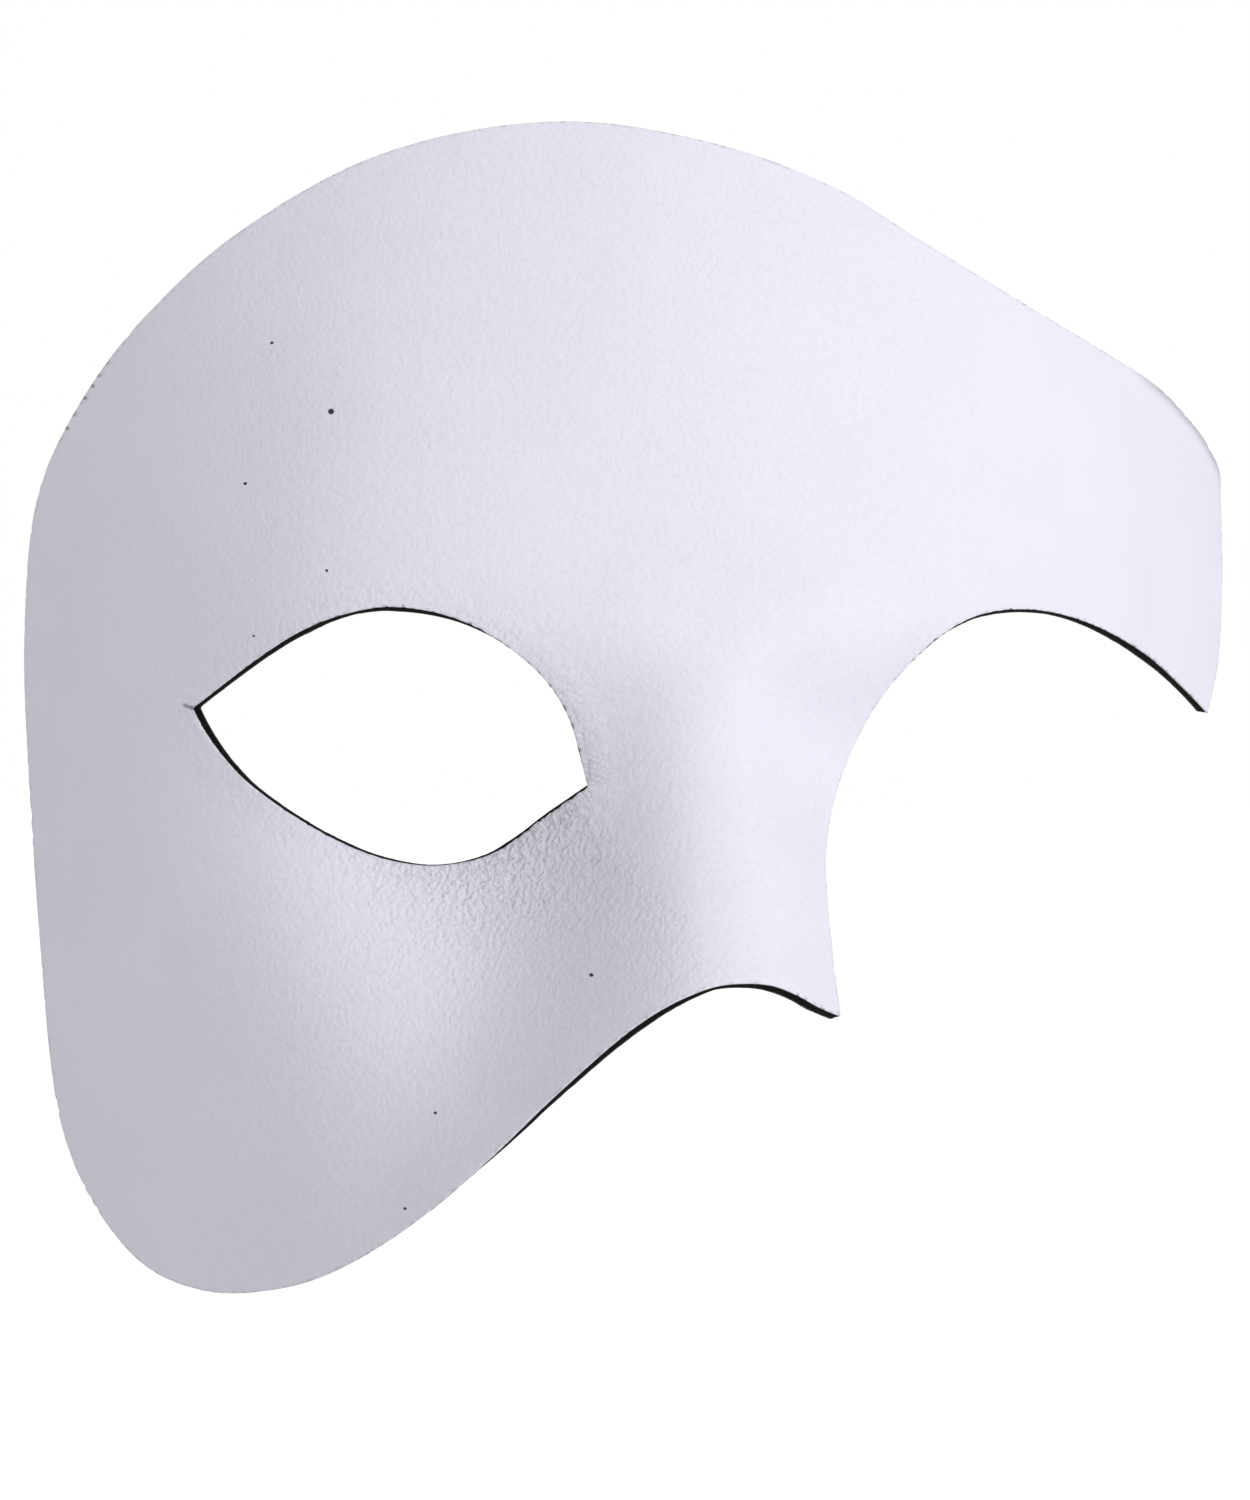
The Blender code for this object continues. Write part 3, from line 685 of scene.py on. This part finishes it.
def rounded_rectangle(low, high, radius, spacing):
    """An outline with round corners, in front view."""
    points = []
    corners = (high[0], high[1]), (low[0], high[1]), (low[0], low[1]), (high[0], low[1])
    for turn, (x, z) in enumerate(corners):
        centre = (x + radius * (-1 if x == high[0] else 1), z + radius * (-1 if z == high[1] else 1))
        for angle in np.radians(np.linspace(0, 90, 9) + turn * 90):
            points.append((centre[0] + radius * math.cos(angle), centre[1] + radius * math.sin(angle)))
    points = np.array(points)
    closed = np.concatenate([points, points[:1]])
    steps = np.append(0, np.linalg.norm(np.diff(closed, axis=0), axis=1).cumsum())
    at = np.linspace(0, steps[-1], round(steps[-1] / spacing) + 1)[:-1]
    return np.stack([np.interp(at, steps, column) for column in closed.T], axis=1)


def patch(node, material):
    """A felt patch over an elastic end: soft edges, nap and round corners."""
    points, _, _ = side_of(node, BACK)
    flat = points[:, [0, 2]]
    surface = thin_plate(flat, points[:, 1])
    outline = rounded_rectangle(flat.min(axis=0), flat.max(axis=0), PATCH_CORNER, CUT_SPACING)
    seen, faces = cut_mesh([outline], PATCH_SPACING)
    away = nearest(seen, outline)[1]
    y, slopes = surface(seen)
    normals = np.stack([-slopes[:, 0], np.ones(len(seen)), -slopes[:, 1]], axis=1)
    normals /= np.linalg.norm(normals, axis=1, keepdims=True)
    face = np.stack([seen[:, 0], y, seen[:, 1]], axis=1)
    nap = PATCH_NAP * (1 + noise_at(seen, 1.3, 5.0))
    sunk = PATCH_THICKNESS * 0.75 * np.exp(-away / PATCH_EDGE_ROUND) + nap
    top = face - normals * sunk[:, None]
    bottom = face - normals * PATCH_THICKNESS * PATCH_SINKS
    count = len(outline)
    obj = shell_mesh(node + "_felt", (top, faces), (bottom, faces),
                     [np.array([(top[:count] + bottom[:count]) / 2])], material)
    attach(obj, "mask")
    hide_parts(node)
    return obj


def shares(line):
    """How far along a line each of its points is, from 0 to 1."""
    steps = np.append(0, np.linalg.norm(np.diff(line, axis=0), axis=1).cumsum())
    return steps / steps[-1]


def elastic_rows(node):
    """Middle line and width direction of a length of elastic in one CAD node, as rows of six numbers."""
    points, normals, loops = side_of(node, FRONT)
    middle = points - normals * ELASTIC_THICKNESS / 2
    loop = np.array(loops[0])
    corners = np.sort(np.argsort(turns(points[loop]))[-4:])
    loop = np.roll(loop, -corners[0])
    bounds = list(corners - corners[0]) + [len(loop)]
    loop = np.append(loop, loop[0])
    stretches = [middle[loop[a:b + 1]] for a, b in zip(bounds, bounds[1:])]
    pairs = sorted(stretches, key=lambda stretch: stretch[:, 2].mean())
    lower, upper = pairs[0], pairs[-1][::-1]
    lower_at, upper_at = shares(lower), shares(upper)
    lower = np.stack([np.interp(upper_at, lower_at, column) for column in lower.T], axis=1)
    across = (upper - lower) / np.linalg.norm(upper - lower, axis=1, keepdims=True)
    return np.concatenate([(upper + lower) / 2, across], axis=1)


def joined(first, second):
    """Two runs of rows end to end, whichever way each was read."""
    options = []
    for a in (first, first[::-1]):
        for b in (second, second[::-1]):
            options.append((np.linalg.norm(a[-1, :3] - b[0, :3]), len(options), a, b))
    _, _, a, b = min(options, key=lambda option: option[:2])
    return np.concatenate([a, b])


def even_rows(rows, extend):
    """Rows resampled evenly, straight where they are far apart, with both ends moved outwards."""
    filled = [rows[:1]]
    for a, b in zip(rows, rows[1:]):
        pieces = max(1, math.ceil(np.linalg.norm(b[:3] - a[:3]) / LONG_CHORD))
        filled.append(a + (b - a) * np.linspace(0, 1, pieces + 1)[1:, None])
    rows = smooth_stretch(np.concatenate(filled), ELASTIC_SPACING)
    for end, step in ((0, 1), (-1, -2)):
        heading = rows[end, :3] - rows[step, :3]
        rows[end, :3] += heading / np.linalg.norm(heading) * extend[end]
    return rows


def ribbed_section():
    """The elastic's outline across its length: ribs that thin out to flat edges."""
    half = ELASTIC_WIDTH / 2
    w = np.linspace(-half, half, int(ELASTIC_WIDTH / RIB_PITCH * RIB_SAMPLES) + 1)
    ribbed = ELASTIC_THICKNESS / 2 - RIB_DEPTH * (1 - np.abs(np.sin(math.pi * w / RIB_PITCH)))
    to_edge = half - np.abs(w)
    ribbed *= np.sqrt(np.clip(1 - np.clip(1 - to_edge / SELVEDGE, 0, 1) ** 2, 0.02, 1))
    return np.concatenate([np.stack([w, ribbed], 1), np.stack([w, -ribbed], 1)[::-1]])


def elastic(name, rows, material, extend=(0.0, 0.0)):
    """A ribbed woven elastic swept along rows, with its weave's coordinates in a UV map."""
    rows = even_rows(rows, extend)
    centres, across = rows[:, :3], rows[:, 3:]
    across = across / np.linalg.norm(across, axis=1, keepdims=True)
    up = np.cross(np.gradient(centres, axis=0), across)
    up /= np.linalg.norm(up, axis=1, keepdims=True)
    section = ribbed_section()
    rings = centres[:, None] + across[:, None] * section[None, :, :1] + up[:, None] * section[None, :, 1:]
    count, size = rings.shape[:2]
    obj = mesh_object(name, rings.reshape(-1, 3), capped_tube_faces(count, size), material)
    mesh = obj.data
    steps = np.append(0, np.linalg.norm(np.diff(centres, axis=0), axis=1).cumsum())
    places = np.stack([np.repeat(steps, size), np.tile(section[:, 0], count)], axis=1)
    corners = np.zeros(len(mesh.loops), np.int32)
    mesh.loops.foreach_get("vertex_index", corners)
    mesh.uv_layers.new(name="weave").data.foreach_set("uv", places[corners].astype(np.float32).ravel())
    return obj


def tube_points(path, radius, closed, sides=TUBE_SIDES):
    """Rings of points round a path."""
    along = np.roll(path, -1, axis=0) - np.roll(path, 1, axis=0)
    if not closed:
        along[0], along[-1] = path[1] - path[0], path[-1] - path[-2]
    along /= np.linalg.norm(along, axis=1, keepdims=True)
    side = np.zeros_like(path)
    current = np.cross(along[0], (0.31, 0.87, 0.38))
    for i, heading in enumerate(along):
        current = current - heading * (current @ heading)
        current /= np.linalg.norm(current)
        side[i] = current
    other = np.cross(along, side)
    angle = np.arange(sides) / sides * 2 * math.pi
    return (path[:, None] + radius * (side[:, None] * np.cos(angle)[None, :, None]
                                      + other[:, None] * np.sin(angle)[None, :, None]))


def tube_faces(count, sides, closed, offset=0):
    """The faces between rings of points."""
    faces = []
    for i in range(count if closed else count - 1):
        for j in range(sides):
            a, b = i * sides + j, i * sides + (j + 1) % sides
            c, d = (a + sides) % (count * sides), (b + sides) % (count * sides)
            faces.append([offset + a, offset + b, offset + d, offset + c])
    return faces


def capped_tube_faces(count, sides, offset=0):
    """The faces between rings of points and across both ends."""
    last = offset + (count - 1) * sides
    ends = [range(offset, offset + sides), range(last, last + sides)]
    return tube_faces(count, sides, False, offset) + ends


def ring(material):
    """The moulded ring: a rounded rectangle of round wire."""
    low, high = (np.array(corner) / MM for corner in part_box("ring"))
    radius = (high[1] - low[1]) / 2
    outline = rounded_rectangle(low[[0, 2]] + radius, high[[0, 2]] - radius, RING_CORNER, RING_SPACING)
    path = np.stack([outline[:, 0], np.full(len(outline), (low[1] + high[1]) / 2), outline[:, 1]], axis=1)
    points = tube_points(path, radius, True).reshape(-1, 3)
    obj = mesh_object("ring_moulded", points, tube_faces(len(path), TUBE_SIDES, True), material)
    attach(obj, "ring")
    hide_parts("ring")
    return obj


def stitch(node, body, material):
    """A whip stitch of two-ply thread wound round two layers of elastic."""
    low, high = (np.array(corner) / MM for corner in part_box(node))
    centre, half = (low + high) / 2, (high - low) / 2
    half_y, half_z = half[1] - THREAD_RADIUS, half[2] - THREAD_RADIUS
    corners = np.array([(-1, -1), (-1, 0), (-1, 1), (1, 1), (1, 0), (1, -1)])
    knots = []
    pitch = 2 * (half[0] - THREAD_RADIUS) / (THREAD_TURNS - 1 / len(corners))
    for turn in range(THREAD_TURNS):
        for i, (y, z) in enumerate(corners):
            x = -half[0] + THREAD_RADIUS + (turn + i / len(corners)) * pitch
            knots.append(centre + (x, y * half_y, z * half_z))
    path = smooth_stretch(np.array(knots), THREAD_SPACING)
    path[:, 1] = np.clip(path[:, 1], centre[1] - half_y, centre[1] + half_y)
    path[:, 2] = np.clip(path[:, 2], centre[2] - half_z, centre[2] + half_z)
    steps = np.append(0, np.linalg.norm(np.diff(path, axis=0), axis=1).cumsum())
    frames = tube_points(path, 1.0, False, 4) - path[:, None]
    points, faces = [], []
    for ply in range(THREAD_PLIES):
        angle = 2 * math.pi * (steps / THREAD_TWIST_LENGTH + ply / THREAD_PLIES)
        turned = frames[:, 0] * np.cos(angle)[:, None] + frames[:, 1] * np.sin(angle)[:, None]
        strand = path + THREAD_RADIUS * (1 - PLY_SHARE) * turned
        offset = len(points) * len(path) * PLY_SIDES
        points.append(tube_points(strand, THREAD_RADIUS * PLY_SHARE, False, PLY_SIDES).reshape(-1, 3))
        faces += capped_tube_faces(len(path), PLY_SIDES, offset)
    obj = mesh_object(node + "_thread", np.concatenate(points), faces, material)
    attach(obj, body)
    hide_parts(node)
    return obj


def moulded(node, material):
    """Softens a CAD node's edges as a mould would, and gives it its material."""
    obj = frame["nodes"][node]
    weld = obj.modifiers.new("weld", "WELD")
    weld.merge_threshold = WELD_M
    bevel = obj.modifiers.new("soft_edges", "BEVEL")
    bevel.width = MOULD_RADIUS_M
    bevel.segments = MOULD_STEPS
    bevel.limit_method = "ANGLE"
    bevel.angle_limit = MOULD_CORNER
    obj.modifiers.new("normals", "WEIGHTED_NORMAL")
    obj.data.polygons.foreach_set("use_smooth", [True] * len(obj.data.polygons))
    obj.data.materials.clear()
    obj.data.materials.append(material)


def add(tree, kind, settings=None, **inputs):
    """A shader node with its inputs set to values or linked to sockets."""
    made = tree.nodes.new("ShaderNode" + kind)
    for key, value in (settings or {}).items():
        setattr(made, key, value)
    for key, value in inputs.items():
        socket = made.inputs[int(key[1:])] if key[1:].isdigit() else made.inputs[key.replace("_", " ")]
        if isinstance(value, bpy.types.NodeSocket):
            tree.links.new(value, socket)
        else:
            socket.default_value = value
    return made


def maths(tree, operation, a, b=0.0, c=0.0):
    """The result of a sum on up to three values or sockets."""
    return add(tree, "Math", {"operation": operation}, _0=a, _1=b, _2=c).outputs[0]


def ramp(tree, value, low, high, to_low=0.0, to_high=1.0):
    """A value eased from one range to another."""
    return add(tree, "MapRange", {"interpolation_type": "SMOOTHSTEP"}, Value=value,
               From_Min=low, From_Max=high, To_Min=to_low, To_Max=to_high).outputs[0]


def mix(tree, factor, a, b):
    """A colour between two colours: sockets 6 and 7 and output 2 are the node's colour ones."""
    return add(tree, "Mix", {"data_type": "RGBA"}, _0=factor, _6=a, _7=b).outputs[2]


def roughen(tree, shader, height, strength, distance):
    """Bumps a shader's normal by a height."""
    made = add(tree, "Bump", Height=height, Strength=strength, Distance=distance)
    link(tree, made.outputs[0], shader.inputs["Normal"])


def new_material(name):
    """A material with its node tree and shader."""
    material = bpy.data.materials.new(name)
    material.use_nodes = True
    tree = material.node_tree
    return material, tree, tree.nodes["Principled BSDF"]


def link(tree, value, socket):
    """Feeds one socket from another."""
    tree.links.new(value, socket)


def flecks(tree, place):
    """One inside the skin's dark flecks and nothing outside them."""
    low, high = (np.array(corner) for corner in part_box("skin"))
    split = add(tree, "SeparateXYZ", Vector=place)
    front_view = add(tree, "CombineXYZ", X=split.outputs[0], Z=split.outputs[2]).outputs[0]
    marks = 0.0
    for across, up, radius in FLECKS:
        centre = (low[0] + across * (high[0] - low[0]), 0.0, low[2] + up * (high[2] - low[2]))
        away = add(tree, "VectorMath", {"operation": "DISTANCE"}, _0=front_view, _1=centre).outputs["Value"]
        marks = maths(tree, "MAXIMUM", ramp(tree, away, radius * MM * 0.6, radius * MM, 1.0, 0.0), marks)
    return marks


def leatherette():
    """White PU leatherette: pebbled grain pulled hard round the eye, faint mottling, painted shade in the
    grain's valleys, in the lid fold and along one edge, grey cut edges.
    """
    material, tree, shader = new_material("leatherette_white")
    place = add(tree, "TexCoord").outputs["Object"]
    known = {key: add(tree, "Attribute", {"attribute_name": key}).outputs["Fac"]
             for key in ("pulled", "pebbled", "edge", "marks_and_painted_shade", "lid_along", "lid_away")}
    warp = add(tree, "TexNoise", Vector=place, Scale=420.0, Detail=3.0).outputs["Color"]
    warped = add(tree, "VectorMath", {"operation": "MULTIPLY_ADD"}, _0=warp, _1=(0.0014, 0.0014, 0.0014),
                 _2=place).outputs[0]
    pebble = add(tree, "TexVoronoi", {"feature": "SMOOTH_F1"}, Vector=warped,
                 Scale=1450.0).outputs["Distance"]
    fine = add(tree, "TexNoise", Vector=place, Scale=2600.0, Detail=2.0, Roughness=0.6).outputs[0]
    creased = add(tree, "TexNoise", Vector=warped, Scale=760.0, Detail=4.0, Roughness=0.68).outputs[0]
    lid = add(tree, "CombineXYZ", X=maths(tree, "MULTIPLY", known["lid_along"], 2.0),
              Y=maths(tree, "MULTIPLY", known["lid_away"], 0.45)).outputs[0]
    drawn = add(tree, "TexNoise", Vector=lid, Scale=1.0, Detail=3.0, Roughness=0.6).outputs[0]
    grain = maths(tree, "ADD", maths(tree, "MULTIPLY", pebble, -0.8), maths(tree, "MULTIPLY", fine, 0.25))
    grain = maths(tree, "ADD", grain, maths(tree, "MULTIPLY", creased, 0.9))
    beside_lid = maths(tree, "MULTIPLY", known["pulled"], ramp(tree, known["lid_away"], 0.5, 5.0, 2.2, 0.2))
    low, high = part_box("skin")
    across = add(tree, "SeparateXYZ", Vector=place).outputs[0]
    middle = maths(tree, "MULTIPLY", ramp(tree, across, low[0], low[0] * 0.6, 0.3, 1.0),
                   ramp(tree, across, high[0] * 0.3, high[0] * 0.8, 1.0, 0.12))
    strength = maths(tree, "MULTIPLY", middle, ramp(tree, known["pulled"], 0.0, 0.75, 0.32, 0.42))
    strength = maths(tree, "MULTIPLY", strength, maths(tree, "MULTIPLY_ADD", known["pebbled"], 6.0, 1.0))
    height = maths(tree, "MULTIPLY_ADD", drawn, beside_lid, maths(tree, "MULTIPLY", grain, strength))
    roughen(tree, shader, height, 1.0, GRAIN_DEPTH_M)

    mottle = add(tree, "TexNoise", Vector=place, Scale=55.0, Detail=4.0).outputs[0]
    colour = mix(tree, ramp(tree, mottle, 0.3, 0.7), (0.785, 0.775, 0.868, 1), (0.805, 0.795, 0.888, 1))
    # Painted shade: the grain's valleys are greyed, most where the grain is strongest
    valley_shade_share = maths(tree, "MINIMUM", strength, 0.45)
    painted_valley_shade = maths(tree, "MULTIPLY", ramp(tree, pebble, 0.25, 0.75, 0.0, 0.2), valley_shade_share)
    colour = mix(tree, painted_valley_shade, colour, (0.45, 0.44, 0.52, 1))
    patchy = ramp(tree, add(tree, "TexNoise", Vector=place, Scale=900.0, Detail=2.0).outputs[0], 0.45, 0.7)
    worn = maths(tree, "MULTIPLY", ramp(tree, known["edge"], 0.0, 0.5, 0.35, 0.0), patchy)
    colour = mix(tree, worn, colour, (0.30, 0.29, 0.32, 1))
    # Near-black marks: the nick and the torn stubs are real marks of use; the lid fold and the grey band
    # along the other edge are painted shade
    colour = mix(tree, known["marks_and_painted_shade"], colour, (0.10, 0.10, 0.11, 1))
    colour = mix(tree, flecks(tree, place), colour, (0.03, 0.03, 0.035, 1))
    link(tree, colour, shader.inputs["Base Color"])
    link(tree, ramp(tree, mottle, 0.25, 0.75, 0.50, 0.62), shader.inputs["Roughness"])
    shader.inputs["Specular IOR Level"].default_value = 0.3
    return material


def foam():
    """Cut black foam: open cells along the cut, and a few torn grey ones."""
    material, tree, shader = new_material("foam_black")
    place = add(tree, "TexCoord").outputs["Object"]
    cells = add(tree, "TexVoronoi", Vector=place, Scale=4200.0).outputs["Distance"]
    torn = add(tree, "TexNoise", Vector=place, Scale=1500.0, Detail=3.0).outputs[0]
    link(tree, mix(tree, ramp(tree, torn, 0.55, 0.75), (0.002, 0.002, 0.0025, 1), (0.013, 0.012, 0.013, 1)),
         shader.inputs["Base Color"])
    roughen(tree, shader, cells, 0.8, 0.00015)
    shader.inputs["Roughness"].default_value = 0.95
    shader.inputs["Specular IOR Level"].default_value = 0.15
    return material


def knit():
    """Brushed black knit: rows of small loops under a nap, with lighter lint."""
    material, tree, shader = new_material("lining_knit")
    place = add(tree, "TexCoord").outputs["Object"]
    rows = add(tree, "TexWave", {"bands_direction": "Z"}, Vector=place, Scale=190.0, Distortion=1.5,
               Detail=2.0).outputs[0]
    columns = add(tree, "TexWave", {"bands_direction": "X"}, Vector=place, Scale=260.0, Distortion=2.0,
                  Detail=2.0).outputs[0]
    nap = add(tree, "TexNoise", Vector=place, Scale=1700.0, Detail=5.0, Roughness=0.7).outputs[0]
    broad = add(tree, "TexNoise", Vector=place, Scale=70.0, Detail=3.0).outputs[0]
    loops = maths(tree, "MULTIPLY", rows, columns)
    height = maths(tree, "ADD", maths(tree, "MULTIPLY", loops, 0.7), nap)
    roughen(tree, shader, height, 0.6, 0.0003)
    base = mix(tree, ramp(tree, broad, 0.3, 0.7), (0.014, 0.014, 0.016, 1), (0.028, 0.027, 0.030, 1))
    link(tree, mix(tree, ramp(tree, nap, 0.58, 0.78, 0.0, 0.6), base, (0.075, 0.072, 0.078, 1)),
         shader.inputs["Base Color"])
    shader.inputs["Roughness"].default_value = 0.95
    shader.inputs["Sheen Weight"].default_value = 0.25
    shader.inputs["Sheen Roughness"].default_value = 0.5
    shader.inputs["Specular IOR Level"].default_value = 0.2
    return material


def woven():
    """Black woven elastic: covered rubber ribs crossed by weft yarn that goes over and under, painted lighter
    on the yarn's raised crests as a highlight.
    """
    material, tree, shader = new_material("elastic_woven")
    uv = add(tree, "UVMap", {"uv_map": "weave"}).outputs[0]
    split = add(tree, "SeparateXYZ", Vector=uv)
    along, across = split.outputs[0], split.outputs[1]
    rib = maths(tree, "FLOOR", maths(tree, "DIVIDE", across, RIB_PITCH))
    phase = maths(tree, "MULTIPLY", maths(tree, "MODULO", rib, 2.0), math.pi)
    weft = maths(tree, "SINE", maths(tree, "ADD", maths(tree, "MULTIPLY", along, 2 * math.pi / 0.85), phase))
    fibre = add(tree, "TexNoise", Vector=uv, Scale=9.0, Detail=4.0, Roughness=0.7).outputs[0]
    height = maths(tree, "ADD", maths(tree, "MULTIPLY", weft, 0.4), fibre)
    roughen(tree, shader, height, 0.7, 0.00016)
    # Painted highlight: the weft is coloured lighter where it rises over the ribs
    painted_weft_highlight = ramp(tree, weft, -0.6, 0.9, 0.0, 0.55)
    base = mix(tree, painted_weft_highlight, (0.010, 0.010, 0.011, 1), (0.034, 0.033, 0.037, 1))
    link(tree, mix(tree, ramp(tree, fibre, 0.6, 0.8, 0.0, 0.5), base, (0.08, 0.078, 0.084, 1)),
         shader.inputs["Base Color"])
    shader.inputs["Roughness"].default_value = 0.72
    shader.inputs["Sheen Weight"].default_value = 0.2
    return material


def yarn():
    """Black polyester thread with a low lustre."""
    material, tree, shader = new_material("thread_black")
    place = add(tree, "TexCoord").outputs["Object"]
    fibre = add(tree, "TexNoise", Vector=place, Scale=6000.0, Detail=3.0).outputs[0]
    link(tree, mix(tree, fibre, (0.012, 0.012, 0.013, 1), (0.055, 0.054, 0.058, 1)),
         shader.inputs["Base Color"])
    roughen(tree, shader, fibre, 0.5, 0.00006)
    shader.inputs["Roughness"].default_value = 0.45
    return material


def acetal():
    """Moulded black plastic: fine mould texture, handling marks and a soft gloss."""
    material, tree, shader = new_material("plastic_moulded")
    place = add(tree, "TexCoord").outputs["Object"]
    mould = add(tree, "TexNoise", Vector=place, Scale=3500.0, Detail=2.0).outputs[0]
    handled = add(tree, "TexNoise", Vector=place, Scale=260.0, Detail=5.0, Roughness=0.65).outputs[0]
    link(tree, mix(tree, ramp(tree, handled, 0.4, 0.7), (0.010, 0.010, 0.011, 1), (0.022, 0.022, 0.024, 1)),
         shader.inputs["Base Color"])
    link(tree, ramp(tree, handled, 0.3, 0.7, 0.24, 0.42), shader.inputs["Roughness"])
    roughen(tree, shader, mould, 0.25, 0.00004)
    return material


def studio():
    """A pale floor, an even soft world, one softbox and the camera."""
    low, high = (np.array(corner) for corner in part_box("skin"))
    scene = bpy.context.scene
    scene.view_settings.view_transform = "Standard"
    surround(scene)
    pale_floor(low[2] - FLOOR_BELOW_M)
    aim = Vector((low + high) / 2) + Vector(AIM_FROM_SKIN_CENTRE_M)
    softbox(scene, aim)
    front_camera(scene, aim)


def surround(scene):
    """A world that lights evenly and looks white to the camera."""
    world = bpy.data.worlds.new("studio")
    scene.world = world
    world.use_nodes = True
    tree = world.node_tree
    background = tree.nodes["Background"]
    camera_ray = add(tree, "LightPath").outputs["Is Camera Ray"]
    link(tree, ramp(tree, camera_ray, 0.0, 1.0, AMBIENT, BACKDROP), background.inputs["Strength"])
    background.inputs["Color"].default_value = (1, 1, 1, 1)


def pale_floor(height):
    """A wide floor that looks white to the camera."""
    bpy.ops.mesh.primitive_plane_add(size=FLOOR_SIZE_M, location=(0, 0, height))
    floor = bpy.context.object
    floor.name = "floor"
    material, tree, shader = new_material("floor_pale")
    place = add(tree, "TexCoord").outputs["Object"]
    cloudy = add(tree, "TexNoise", Vector=place, Scale=6.0, Detail=3.0).outputs[0]
    link(tree, mix(tree, cloudy, (0.83, 0.83, 0.83, 1), (0.86, 0.86, 0.86, 1)), shader.inputs["Base Color"])
    shader.inputs["Roughness"].default_value = 0.9
    shader.inputs["Emission Color"].default_value = (1, 1, 1, 1)
    camera_ray = add(tree, "LightPath").outputs["Is Camera Ray"]
    link(tree, maths(tree, "MULTIPLY", camera_ray, FLOOR_GLOW), shader.inputs["Emission Strength"])
    floor.data.materials.append(material)


def softbox(scene, aim):
    """The one lamp, at the wearer's left and front."""
    lamp = bpy.data.lights.new("softbox", "AREA")
    lamp.size = KEY_SIZE_M
    lamp.energy = KEY_POWER
    box = bpy.data.objects.new("softbox", lamp)
    heading = Vector((math.sin(KEY_TURN), -math.cos(KEY_TURN), KEY_RISE)).normalized()
    box.location = aim + heading * KEY_DISTANCE_M
    box.rotation_euler = heading.to_track_quat("Z", "Y").to_euler()
    scene.collection.objects.link(box)


def front_camera(scene, aim):
    """The camera, level and turned towards the wearer's right."""
    lens = bpy.data.cameras.new("camera")
    lens.sensor_width = SENSOR
    lens.lens = SENSOR * CAMERA_DISTANCE_M / FRAME_HEIGHT_M
    camera = bpy.data.objects.new("camera", lens)
    heading = Vector((-math.sin(CAMERA_TURN), -math.cos(CAMERA_TURN), 0))
    camera.location = aim + heading * CAMERA_DISTANCE_M
    camera.rotation_euler = heading.to_track_quat("Z", "Y").to_euler()
    scene.collection.objects.link(camera)
    scene.camera = camera


form = Form()
skin(form, leatherette())
foam_material, knit_material = foam(), knit()
rough_layer(form, "foam_cut", "foam_core", FOAM_FRONT, FOAM_BACK, FOAM_ROUGHNESS, HIDDEN_SPACING,
                    foam_material)
rough_layer(form, "lining_brushed", "lining", LINING_FRONT, LINING_BACK, LINING_FUZZ, LINING_SPACING,
                    knit_material)
for node in ("tab_patch", "band_patch"):
    patch(node, knit_material)

woven_material = woven()
swing = np.array(next(joint for joint in frame["joints"] if joint["name"] == "strap_swing")["pos_m"])
for name, side, ends, loop in STRAP_ENDS:
    length = elastic(name, joined(elastic_rows(ends), elastic_rows(loop)), woven_material)
    split_x = side * abs(np.array(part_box(loop)[0 if side < 0 else 1])[0])
    start, end = swing + (0, BLEND_START_M[1], 0), swing + (0, BLEND_END_M[1], 0)
    start[0], end[0] = split_x + side * BLEND_START_M[0], split_x + side * BLEND_END_M[0]
    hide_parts(ends, loop)
    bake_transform(length)
turned = joined(elastic_rows("band_return"), elastic_rows("slider_loop"))
length = elastic("return_elastic", turned, woven_material, (RETURN_PAST_BAND, 0.0))
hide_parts("band_return", "slider_loop")
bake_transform(length)

plastic = acetal()
ring(plastic)
moulded("slider", plastic)
thread = yarn()
stitch("tab_stitch", "strap", thread)
stitch("slider_stitch", "slider", thread)

studio()
